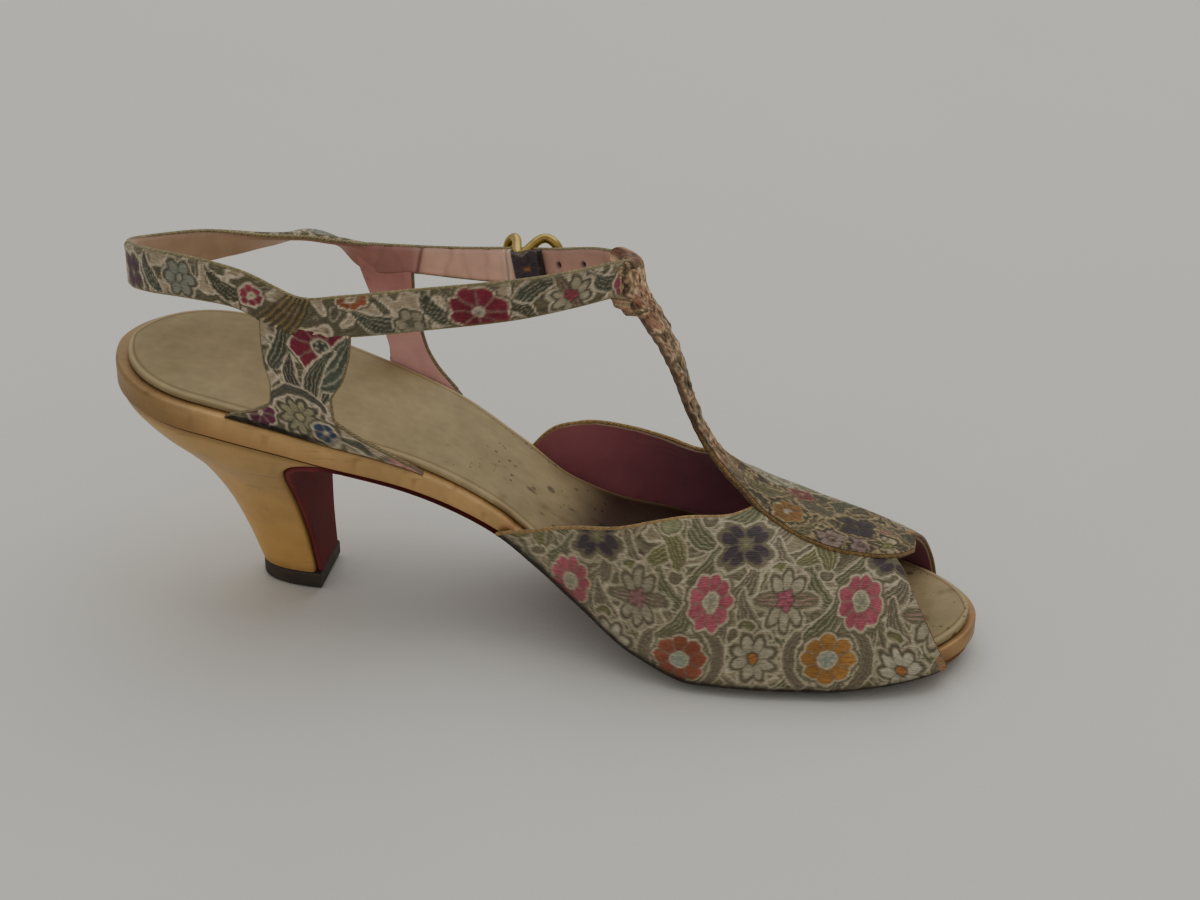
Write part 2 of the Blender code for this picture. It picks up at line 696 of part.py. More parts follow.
def main():
    for leftover in list(bpy.data.objects):
        bpy.data.objects.remove(leftover)
    shoe = bpy.data.collections.new("t_strap_sandal")
    helpers = bpy.data.collections.new("joined_shapes")
    for collection in (shoe, helpers):
        bpy.context.scene.collection.children.link(collection)

    colour(make_midsole(shoe), "gold_kid", GOLD_KID, 0.38, 0.6)
    colour(make_insole(shoe), "sock_kid", SOCK_KID, 0.6)
    colour(make_outsole(shoe), "sole_leather", SOLE_LEATHER, 0.45)
    colour(make_heel(shoe), "gold_kid", GOLD_KID, 0.38, 0.6)
    colour(make_heel_tip(shoe), "tip_rubber", TIP_RUBBER, 0.7)

    upper = make_vamp(shoe)
    colour(upper, "brocade", BROCADE, 0.8)
    for make in (make_t_strap, make_loop, make_ring, make_tail):
        join(upper, make(helpers))
    for side in (-1, 1):
        join(upper, make_post(side, helpers))

    colour(make_buckle(shoe, helpers), "brass", BRASS, 0.3, 1.0)
    colour(bpy.data.objects["buckle_prong"], "brass", BRASS, 0.3, 1.0)
    colour(make_chape(shoe), "brocade", BROCADE, 0.8)


main()
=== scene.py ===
"""The looks of a left-foot peep-toe sandal with a T strap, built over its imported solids.

Brocade upper, kid linings, a gold kid rim and heel, a kid sock, a leather sole and a brass buckle. Sizes are
in millimetres. A station is a distance along the shoe from the back of the heel seat, near (-Y) is the inner
side of the foot and far (+Y) the outer side.
"""

import logging
import math
from dataclasses import dataclass, field
from enum import Enum

import bpy
import numpy as np
from mathutils import Matrix, Vector


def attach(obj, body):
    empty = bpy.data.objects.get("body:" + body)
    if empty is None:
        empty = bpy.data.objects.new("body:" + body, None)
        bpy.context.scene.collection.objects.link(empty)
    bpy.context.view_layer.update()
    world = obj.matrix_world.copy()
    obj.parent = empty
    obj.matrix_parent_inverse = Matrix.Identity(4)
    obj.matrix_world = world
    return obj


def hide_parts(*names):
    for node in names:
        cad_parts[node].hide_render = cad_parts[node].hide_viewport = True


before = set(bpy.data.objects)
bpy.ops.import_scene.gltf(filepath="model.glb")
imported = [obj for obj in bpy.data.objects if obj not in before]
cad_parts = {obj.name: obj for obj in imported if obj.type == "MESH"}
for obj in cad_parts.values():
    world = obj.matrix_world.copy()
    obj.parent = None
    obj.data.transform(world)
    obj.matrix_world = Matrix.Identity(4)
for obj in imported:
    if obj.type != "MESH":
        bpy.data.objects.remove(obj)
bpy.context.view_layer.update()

LOG = logging.getLogger("sandal")
Array = np.ndarray
Socket = bpy.types.NodeSocket
Pair = tuple[float, float]
Place = tuple[float, float, float]
Rows = tuple[tuple[float, ...], ...]
MM = 0.001
LENGTH = 225.0
GAP = 0.3  # room between two pieces that lie on each other
NEAR_EDGE = -40.0  # a place across the shoe, past the board's near edge
SHARP = math.radians(55)  # edges sharper than this are drawn as edges
BODY = "root"


# Numbers and colours

def tone(code: str) -> Array:
    """Linear colour of a six-digit hex code."""
    parts = np.array([int(code[k:k + 2], 16) for k in (1, 3, 5)]) / 255
    return np.where(parts < 0.04045, parts / 12.92, ((parts + 0.055) / 1.055) ** 2.4)


def soft(distance: Array, blur: float = 0.45) -> Array:
    """Cover of a shape from a signed distance in millimetres: 1 inside, 0 outside, with a soft edge."""
    return np.clip(0.5 - distance / blur, 0, 1)


def ease(value: Array, low: float, high: float) -> Array:
    """Smooth step from 0 at low to 1 at high; low may be the larger."""
    t = np.clip((value - low) / (high - low), 0, 1)
    return t * t * (3 - 2 * t)


def hump(distance: Array, width: float) -> Array:
    """Bell curve: 1 at no distance, about a third at one width."""
    return np.exp(-(distance / width) ** 2)


def dyed(code: str, points: Array) -> Array:
    """One colour at every point of a grid, ready to be rubbed."""
    return np.broadcast_to(tone(code), points.shape).copy()


def rub(tint: Array, cover: Array, colour: str) -> None:
    """Rubs a colour over a tint, in place."""
    tint += cover[..., None] * (tone(colour) - tint)


def noise(x: Array, y: Array, seed: int = 0) -> Array:
    """Smooth noise from -1 to 1 with about one swell to each unit.

    Args:
        x: First coordinate.
        y: Second coordinate.
        seed: Picks the field.

    Returns:
        The field's value at each place.
    """
    x, y = np.broadcast_arrays(np.asarray(x, float), np.asarray(y, float))
    ix, iy = np.floor(x).astype(np.int64), np.floor(y).astype(np.int64)
    fx, fy = x - ix, y - iy

    def corner(i: int, j: int) -> Array:
        """Slope field of one lattice corner.

        Args:
            i: Steps to the corner along x.
            j: Steps to it along y.

        Returns:
            The field's value at each place.
        """
        h = ((ix + i) * 374761393 + (iy + j) * 668265263 + seed * 1274126177) & 0xFFFFFFFF
        h = ((h ^ (h >> 13)) * 1103515245) & 0xFFFFFFFF
        turn = ((h ^ (h >> 16)) & 0xFFFF) / 65536 * 2 * np.pi
        return np.cos(turn) * (fx - i) + np.sin(turn) * (fy - j)

    u, v = (f * f * f * (f * (f * 6 - 15) + 10) for f in (fx, fy))
    low = corner(0, 0) * (1 - u) + corner(1, 0) * u
    high = corner(0, 1) * (1 - u) + corner(1, 1) * u
    return 1.5 * (low * (1 - v) + high * v)


def monotone(xs: Array, ys: Array, x: Array | float) -> Array:
    """A smooth curve through points that never overshoots them.

    Args:
        xs: Rising places of the points.
        ys: Values at the points.
        x: Where the curve is read.

    Returns:
        The curve's values.
    """
    xs, ys, x = np.asarray(xs, float), np.asarray(ys, float), np.asarray(x, float)
    step, slope = np.diff(xs), np.diff(ys) / np.diff(xs)
    tangent = np.empty_like(ys)
    tangent[0], tangent[-1] = slope[0], slope[-1]
    before, after = slope[:-1], slope[1:]
    same_way = before * after > 0
    tangent[1:-1] = 2 * np.where(same_way, before * after, 0) / np.where(same_way, before + after, 1)
    k = np.clip(np.searchsorted(xs, x, side="right") - 1, 0, len(step) - 1)
    t = (np.clip(x, xs[0], xs[-1]) - xs[k]) / step[k]
    bend = t * (1 - t) * step[k] * ((1 - t) * tangent[k] - t * tangent[k + 1])
    return ys[k] + (ys[k + 1] - ys[k]) * t * t * (3 - 2 * t) + bend


def unit(vectors: Array) -> Array:
    """Vectors drawn out or in to a length of one."""
    return vectors / np.maximum(np.linalg.norm(vectors, axis=-1, keepdims=True), 1e-9)


def placed(*axes: Array | float) -> Array:
    """Points from their coordinates."""
    return np.stack(np.broadcast_arrays(*axes), axis=-1)


def arc_length(points: Array) -> Array:
    """Distance along a path at each of its points."""
    steps = np.linalg.norm(np.diff(points, axis=0), axis=-1)
    return np.concatenate([np.zeros((1, *steps.shape[1:])), np.cumsum(steps, axis=0)])


@dataclass(frozen=True)
class Table:
    """Sizes in rows under named columns, read as smooth curves."""

    columns: str
    rows: Rows

    def column(self, name: str) -> Array:
        """Every value of one column."""
        place = self.columns.split().index(name)
        return np.array([row[place] for row in self.rows], float)

    def at(self, name: str, value: Array | float) -> Array:
        """One column against the table's first column."""
        return monotone(self.column(self.columns.split()[0]), self.column(name), value)

    def by_row(self, name: str, row: Array | float) -> Array:
        """One column against the row's number."""
        return monotone(np.arange(len(self.rows)), self.column(name), row)

    def round(self, name: str, row: Array | float) -> Array:
        """One column against the row's number, round a closed table.

        Args:
            name: The column.
            row: Row numbers, whole or between rows.

        Returns:
            The column's values there.
        """
        values = self.column(name)
        row = np.asarray(row, float)
        k = np.floor(row).astype(int)
        t = row - k
        a, b, c, d = (values[(k + i) % len(values)] for i in (-1, 0, 1, 2))
        return b + 0.5 * t * (c - a + t * (2 * a - 5 * b + 4 * c - d + t * (3 * (b - c) + d - a)))


class Side(Enum):
    """The two sides of the foot."""

    NEAR = -1
    FAR = 1


# Finishes

class Graph:
    """The nodes of one material, each added and linked in one call."""

    def __init__(self, name: str) -> None:
        """Starts a material with its shader alone.

        Args:
            name: The material's name.
        """
        self.material = bpy.data.materials.new(name)
        self.material.use_nodes = True
        self.tree = self.material.node_tree
        self.shader = self.tree.nodes["Principled BSDF"]

    def feed(self, node: bpy.types.Node, inputs: dict[str | int, object]) -> None:
        """Links or sets a node's inputs.

        Args:
            node: The node.
            inputs: Values or sockets for its inputs.
        """
        for key, value in inputs.items():
            if isinstance(value, Socket):
                self.tree.links.new(value, node.inputs[key])
            else:
                node.inputs[key].default_value = value

    def add(self, kind: str, inputs: dict[str | int, object], out: int = 0, **settings: object) -> Socket:
        """Adds a node.

        Args:
            kind: The node's type, without its usual prefix.
            inputs: Values or sockets for its inputs.
            out: Which output is wanted.
            **settings: The node's own options.

        Returns:
            The wanted output.
        """
        node = self.tree.nodes.new("ShaderNode" + kind)
        for key, value in settings.items():
            setattr(node, key, value)
        self.feed(node, inputs)
        return node.outputs[out]

    def math(self, operation: str, *values: object) -> Socket:
        """Arithmetic on values or sockets."""
        return self.add("Math", dict(enumerate(values)), operation=operation)

    def spread(self, value: Socket, start: float, end: float, low: float, high: float) -> Socket:
        """Takes start..end of a value to low..high."""
        inputs = {"Value": value, "From Min": start, "From Max": end, "To Min": low, "To Max": high}
        return self.add("MapRange", inputs)

    def multiply(self, first: Socket, second: Socket) -> Socket:
        """Product of two colours."""
        return self.add("Mix", {0: 1.0, 6: first, 7: second}, 2, data_type="RGBA", blend_type="MULTIPLY")

    def bump(self, height: Socket, depth: float, below: Socket | None = None) -> Socket:
        """Adds relief of a depth in millimetres to the relief below it."""
        inputs = {"Height": height, "Distance": depth * MM, "Strength": 1.0}
        return self.add("Bump", inputs if below is None else inputs | {"Normal": below})


@dataclass(frozen=True)
class Finish:
    """A leather, rubber or metal: the piece's own tint, mottled, grained and scuffed."""

    name: str
    slot: str = ""
    roughness: float = 0.5
    metallic: float = 0.0
    sheen: float = 0.0
    specular: float = 0.5
    mottle: float = 0.12
    mottle_size: float = 9.0
    grain_size: float = 0.7
    grain_depth: float = 0.05
    specks: float = 0.0
    scratches: float = 0.0

    def material(self) -> bpy.types.Material:
        """The finish as a material, made once."""
        return bpy.data.materials.get(self.name) or self.build(Graph(self.name))

    def place(self, graph: Graph) -> Socket:
        """Where a point of the piece is, in millimetres."""
        return graph.add("VectorMath", {0: graph.add("TexCoord", {}, 3), "Scale": 1 / MM}, operation="SCALE")

    def build(self, graph: Graph) -> bpy.types.Material:
        """Adds the nodes.

        Args:
            graph: The material's empty graph.

        Returns:
            The finished material.
        """
        place = self.place(graph)
        tint = graph.add("Attribute", {}, attribute_name="tint")
        clouds = {"Vector": place, "Scale": 1 / self.mottle_size, "Detail": 6.0, "Roughness": 0.62}
        cloud = graph.add("TexNoise", clouds)
        colour = graph.multiply(tint, graph.spread(cloud, 0.3, 0.7, 1 - self.mottle, 1 + self.mottle))
        if self.specks:
            colour = graph.multiply(colour, self.speckle(graph, place))
        if self.scratches:
            colour = graph.multiply(colour, self.scratch(graph, place))
        rough = graph.spread(cloud, 0.3, 0.7, self.roughness - 0.07, self.roughness + 0.09)
        pebble = graph.add("TexVoronoi", {"Vector": place, "Scale": 1 / self.grain_size}, feature="SMOOTH_F1")
        fine = graph.add("TexNoise", {"Vector": place, "Scale": 2.5 / self.grain_size, "Detail": 3.0})
        relief = graph.bump(pebble, self.grain_depth, graph.bump(fine, 0.6 * self.grain_depth))
        graph.feed(graph.shader, {"Base Color": colour, "Roughness": rough, "Normal": relief})
        return self.settle(graph)

    def settle(self, graph: Graph) -> bpy.types.Material:
        """Sets the sockets that are the same all over the surface."""
        graph.feed(graph.shader, {"Metallic": self.metallic, "Specular IOR Level": self.specular,
                                  "Sheen Weight": self.sheen, "Sheen Roughness": 0.5})
        return graph.material

    def speckle(self, graph: Graph, place: Socket) -> Socket:
        """Small dark spots of two sizes, larger where the piece's relief says so.

        Args:
            graph: The material's graph.
            place: Where a point of the piece is.

        Returns:
            The spots as a factor.
        """
        thick = graph.add("Attribute", {}, 2, attribute_name="relief")
        shades = []
        for cell in (4.5, 1.8):
            cells = {"Vector": place, "Scale": 1 / cell, "Randomness": 1.0}
            pick = graph.add("SeparateColor", {0: graph.add("TexVoronoi", cells, 1)})
            size = graph.math("MULTIPLY", thick, graph.spread(pick, 0.3, 1.0, 0.0, 0.2))
            inside = graph.math("SUBTRACT", graph.add("TexVoronoi", cells), size)
            shades.append(graph.spread(inside, -0.06, 0.0, 1 - self.specks, 1.0))
        return graph.multiply(*shades)

    def scratch(self, graph: Graph, place: Socket) -> Socket:
        """Rubbed streaks that run along the shoe.

        Args:
            graph: The material's graph.
            place: Where a point of the piece is.

        Returns:
            The streaks as a factor.
        """
        streak = graph.add("VectorMath", {0: place, 1: (0.05, 0.5, 0.9)}, operation="MULTIPLY")
        worn = graph.add("TexNoise", {"Vector": streak, "Scale": 1.0, "Detail": 5.0, "Roughness": 0.75})
        return graph.spread(worn, 0.60, 0.74, 1.0, 1 - self.scratches)


@dataclass(frozen=True)
class Cloth(Finish):
    """Woven stuff: weft ribs crossed by warp with painted light and shade, threads of uneven shade, a raised
    figure.
    """

    rib: float = 0.6
    rib_depth: float = 0.035
    figure_depth: float = 0.22
    streak: float = 0.32

    def build(self, graph: Graph) -> bpy.types.Material:
        """Adds the nodes.

        Args:
            graph: The material's empty graph.

        Returns:
            The finished material.
        """
        weave = graph.add("VectorMath", {0: graph.add("TexCoord", {}, 2), "Scale": 1 / MM}, operation="SCALE")
        axes = graph.tree.nodes.new("ShaderNodeSeparateXYZ")
        graph.feed(axes, {0: weave})
        along, across = axes.outputs[0], axes.outputs[1]
        wander = graph.add("TexNoise", {"Vector": weave, "Scale": 0.3, "Detail": 2.0})
        turns = 2 * math.pi / self.rib
        weft = graph.math("MULTIPLY_ADD", wander, 1.6, graph.math("MULTIPLY", across, turns))
        warp = graph.math("MULTIPLY_ADD", wander, 2.4, graph.math("MULTIPLY", along, turns / 1.5))
        step = graph.math("MULTIPLY", across, math.pi / self.rib)
        ribs = graph.math("SINE", weft)
        floats = graph.math("SINE", graph.math("ADD", warp, step))
        threads = graph.math("MULTIPLY_ADD", floats, 0.45, ribs)
        strand = graph.add("VectorMath", {0: weave, 1: (0.55, 1 / self.rib, 1.0)}, operation="MULTIPLY")
        uneven = graph.add("TexNoise", {"Vector": strand, "Scale": 1.0, "Detail": 3.0, "Roughness": 0.7})
        fade = graph.add("TexNoise", {"Vector": weave, "Scale": 1 / self.mottle_size, "Detail": 4.0})
        tint = graph.add("Attribute", {}, attribute_name="tint")
        colour = graph.multiply(tint, graph.spread(uneven, 0.3, 0.7, 1 - self.streak, 1 + self.streak))
        # Painted light and shade: the colour follows the ribs, darker in their hollows and lighter on their
        # crests.
        colour = graph.multiply(colour, graph.spread(threads, -1.4, 1.4, 0.93, 1.05))
        colour = graph.multiply(colour, graph.spread(fade, 0.3, 0.7, 1 - self.mottle, 1 + self.mottle))
        figure = graph.add("Attribute", {}, 2, attribute_name="relief")
        relief = graph.bump(threads, self.rib_depth, graph.bump(figure, self.figure_depth))
        graph.feed(graph.shader, {"Base Color": colour, "Normal": relief, "Roughness": self.roughness})
        return self.settle(graph)


BROCADE = Cloth("faded_brocade", "brocade", roughness=0.82, sheen=0.12, specular=0.25, mottle=0.10,
                mottle_size=14.0)
STRAP_BROCADE = Cloth("strap_brocade", "brocade", roughness=0.8, sheen=0.1, specular=0.25, mottle=0.10,
                      rib=0.5)
CORD = Cloth("gold_cord", "gold_kid", roughness=0.5, sheen=0.1, mottle=0.18, rib=0.9, rib_depth=0.16,
             figure_depth=0.0)
LINING = Finish("lining_kid", roughness=0.62, sheen=0.08, mottle=0.10, grain_size=0.6, grain_depth=0.035,
                scratches=0.12)
GOLD_KID = Finish("rubbed_gold_kid", "gold_kid", roughness=0.45, metallic=0.45, mottle=0.13, mottle_size=11.0,
                  grain_size=0.8, grain_depth=0.06, specks=0.4, scratches=0.45)
SOCK_KID = Finish("worn_sock_kid", "sock_kid", roughness=0.68, specular=0.25, mottle_size=7.0,
                  grain_size=0.55, grain_depth=0.04, specks=0.5)
SOLE_LEATHER = Finish("burgundy_leather", "sole_leather", roughness=0.6, specular=0.04, mottle=0.2,
                      scratches=0.3)
TIP_RUBBER = Finish("black_rubber", "tip_rubber", roughness=0.6, mottle=0.25, mottle_size=4.0, grain_size=0.5)
BRASS = Finish("aged_brass", "brass", roughness=0.28, metallic=1.0, mottle=0.22, mottle_size=3.0,
               grain_size=0.4, grain_depth=0.012)
FLOOR_CLOTH = Finish("pale_floor", roughness=0.9, specular=0.1, mottle=0.02, mottle_size=240.0,
                     grain_size=1.2)


# Meshes

class Mesher:
    """Gathers grids of points, in millimetres from the heel's back, into one dressed piece."""

    def __init__(self, name: str) -> None:
        """Starts an empty piece.

        Args:
            name: The piece's name.
        """
        self.name = name
        self.points: list[Array] = []
        self.quads: list[Array] = []
        self.tints: list[Array] = []
        self.cloth: list[Array] = []
        self.relief: list[Array] = []
        self.slots: list[Array] = []
        self.finishes: list[Finish] = []
        self.count = 0

    def grid(self, points: Array, finish: Finish, tint: Array, cloth: Array | None = None,
             relief: Array | None = None, ring: bool = False, facing: Array | None = None) -> None:
        """Adds a sheet of quads.

        Args:
            points: Rows by columns of points.
            finish: The sheet's finish.
            tint: One colour, or a colour for each point.
            cloth: Place of each point on the cloth, in millimetres along and across the weave.
            relief: How far the woven figure stands up, or how thick the specks lie, at each point.
            ring: Whether the last column joins the first.
            facing: Directions that the faces look in; left out, they look out of the closed form.
        """
        rows, columns = points.shape[:2]
        size = rows * columns
        index = self.count + np.arange(size).reshape(rows, columns)
        if ring:
            index = np.concatenate([index, index[:, :1]], axis=1)
        corners = (index[:-1, :-1], index[1:, :-1], index[1:, 1:], index[:-1, 1:])
        quads = np.stack(corners, axis=-1).reshape(-1, 4)
        if finish not in self.finishes:
            self.finishes.append(finish)
        flat = points.reshape(-1, 3)
        a, b, c, d = (flat[quads[:, k] - self.count] for k in range(4))
        look = a - flat.mean(axis=0)
        if facing is not None:
            look = np.broadcast_to(facing, points.shape).reshape(-1, 3)[quads[:, 0] - self.count]
        turned = np.sum(np.cross(c - a, d - b) * look) < 0
        self.points.append(flat)
        self.quads.append(quads[:, ::-1] if turned else quads)
        self.tints.append(np.broadcast_to(tint, (rows, columns, 3)).reshape(-1, 3))
        self.cloth.append(np.zeros((size, 2)) if cloth is None else cloth.reshape(-1, 2))
        self.relief.append(np.zeros(size) if relief is None else relief.reshape(-1))
        self.slots.append(np.full(len(quads), self.finishes.index(finish)))
        self.count += size

    def tube(self, path: Array, radius: Array | float, finish: Finish, tint: Array, sides: int = 10,
             closed: bool = False) -> None:
        """Adds a round cord or bar along a path.

        Args:
            path: Points of the centre line.
            radius: Radius, the same all along or for each point.
            finish: The cord's finish.
            tint: One colour, or a colour for each point.
            sides: Points round the cord.
            closed: Whether the path's end meets its start.
        """
        radius = np.broadcast_to(radius, len(path))
        tint = np.broadcast_to(tint, (len(path), 3))
        if closed:
            path, radius, tint = (np.concatenate([a, a[:1]]) for a in (path, radius, tint))
            ahead = unit(np.roll(path[:-1], -1, axis=0) - np.roll(path[:-1], 1, axis=0))
            ahead = np.concatenate([ahead, ahead[:1]])
        else:
            ahead = unit(np.gradient(path, axis=0))
        normals = [unit(np.cross(ahead[0], (0.3, 0.2, 1.0)))]
        for k in range(1, len(path)):
            carried = normals[-1] - ahead[k] * np.dot(normals[-1], ahead[k])
            normals.append(unit(carried))
        normal = np.array(normals)
        other = np.cross(ahead, normal)
        turn = np.linspace(0, 2 * np.pi, sides + 1)
        if closed:
            twist = math.atan2(np.dot(normal[-1], other[0]), np.dot(normal[-1], normal[0]))
            turn = turn[None, :] - twist * np.linspace(0, 1, len(path))[:, None]
        else:
            turn = np.broadcast_to(turn, (len(path), sides + 1))
        round_it = np.cos(turn)[..., None] * normal[:, None] + np.sin(turn)[..., None] * other[:, None]
        points = path[:, None] + round_it * radius[:, None, None]
        cloth = placed(turn * radius[:, None], arc_length(path)[:, None] + turn * 0.8)
        tints = np.broadcast_to(tint[:, None], (*turn.shape, 3))
        if not closed:
            ends = [np.broadcast_to(path[k], points[k].shape)[None] for k in (0, -1)]
            points = np.concatenate([ends[0], points, ends[1]])
            cloth, tints = (np.concatenate([v[:1], v, v[-1:]]) for v in (cloth, tints))
        self.grid(points, finish, tints, cloth)

    def shell(self, points: Array, finish: Finish, tint: Array, relief: Array | None = None) -> None:
        """Adds rings of points as one form, closed at both ends."""
        heights = None if relief is None else capped(relief)
        self.grid(capped(points), finish, capped(tint), relief=heights, ring=True)

    def hem(self, outer: Array, inner: Array, finish: Finish, tint: Array) -> None:
        """Closes the cut edges between a sheet's two faces.

        Args:
            outer: The outer face.
            inner: The inner face, with the same rows and columns.
            finish: The edges' finish.
            tint: The edges' colour, or a colour for each point of the face.
        """
        faces = (outer, inner, np.broadcast_to(tint, outer.shape))
        for face, back, dye in (faces, tuple(np.swapaxes(v, 0, 1) for v in faces)):
            for turn in (1, -1):
                first, second = face[::turn][0], face[::turn][1]
                edge = np.stack([first, back[::turn][0]])
                self.grid(edge, finish, np.stack([dye[::turn][0]] * 2), facing=first - second)

    def build(self, *nodes: str) -> None:
        """Makes the mesh, dresses it and lets it ride.

        Args:
            *nodes: The solids that the piece stands for.
        """
        points, quads = np.concatenate(self.points), np.concatenate(self.quads)
        points = (points - np.array([LENGTH / 2, 0, 0])) * MM
        mesh = bpy.data.meshes.new(self.name)
        mesh.vertices.add(len(points))
        mesh.vertices.foreach_set("co", points.ravel())
        mesh.loops.add(quads.size)
        mesh.loops.foreach_set("vertex_index", quads.ravel())
        mesh.polygons.add(len(quads))
        mesh.polygons.foreach_set("loop_start", np.arange(0, quads.size, 4))
        mesh.polygons.foreach_set("material_index", np.concatenate(self.slots))
        mesh.update(calc_edges=True)
        cloth = np.concatenate(self.cloth) * MM
        mesh.uv_layers.new(name="cloth").data.foreach_set("uv", cloth[quads.ravel()].ravel())
        tints = np.concatenate([np.concatenate(self.tints), np.ones((len(points), 1))], axis=1)
        colours = mesh.attributes.new("tint", "FLOAT_COLOR", "POINT")
        colours.data.foreach_set("color", np.clip(tints, 0, 1).ravel())
        heights = mesh.attributes.new("relief", "FLOAT", "POINT")
        heights.data.foreach_set("value", np.concatenate(self.relief))
        for finish in self.finishes:
            mesh.materials.append(finish.material())
        mesh.shade_smooth()
        mesh.set_sharp_from_angle(angle=SHARP)
        piece = bpy.data.objects.new(self.name, mesh)
        bpy.context.scene.collection.objects.link(piece)
        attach(piece, BODY)
        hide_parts(*nodes)
        LOG.info("%s: %d faces", self.name, len(quads))


def sheet_normals(points: Array) -> Array:
    """Normals of a grid of points: columns crossed with rows."""
    return unit(np.cross(np.gradient(points, axis=0), np.gradient(points, axis=1)))


def capped(points: Array) -> Array:
    """Rings of points, closed at both ends by a point in their middle."""
    ends = [np.broadcast_to(points[k].mean(axis=0), points[k].shape)[None] for k in (0, -1)]
    return np.concatenate([ends[0], points, ends[1]])


# The brocade

class Kind(Enum):
    """The figures of the weave."""

    ROSETTE = "rosette"
    DAISY = "daisy"
    CROWN = "crown"
    VIOLET = "violet"
    LEAF = "leaf"
    CRESCENT = "crescent"
    BUD = "bud"


@dataclass(frozen=True)
class Motif:
    """One woven figure: its place on the cloth, its size and heading, and its colours."""

    kind: Kind
    along: float
    across: float
    size: float
    heading: float = 0.0
    colour: str = "#a84a58"
    heart: str = "#8c8a70"
    petals: int = 6
    narrow: float = 1.0
    bend: float = 0.0
    core: float = 0.36


def leaves(*rows: tuple[float, float, float, float, str, float, float]) -> tuple[Motif, ...]:
    """Leaves from rows of their place along and across, size, heading, colour, width and bend."""
    return tuple(Motif(Kind.LEAF, *row[:5], narrow=row[5], bend=row[6]) for row in rows)


@dataclass(frozen=True)
class Palette:
    """The threads of the ground: its two shades, its leaves and the pale outline."""

    ground: str
    deep: str
    leaf: str
    line: str


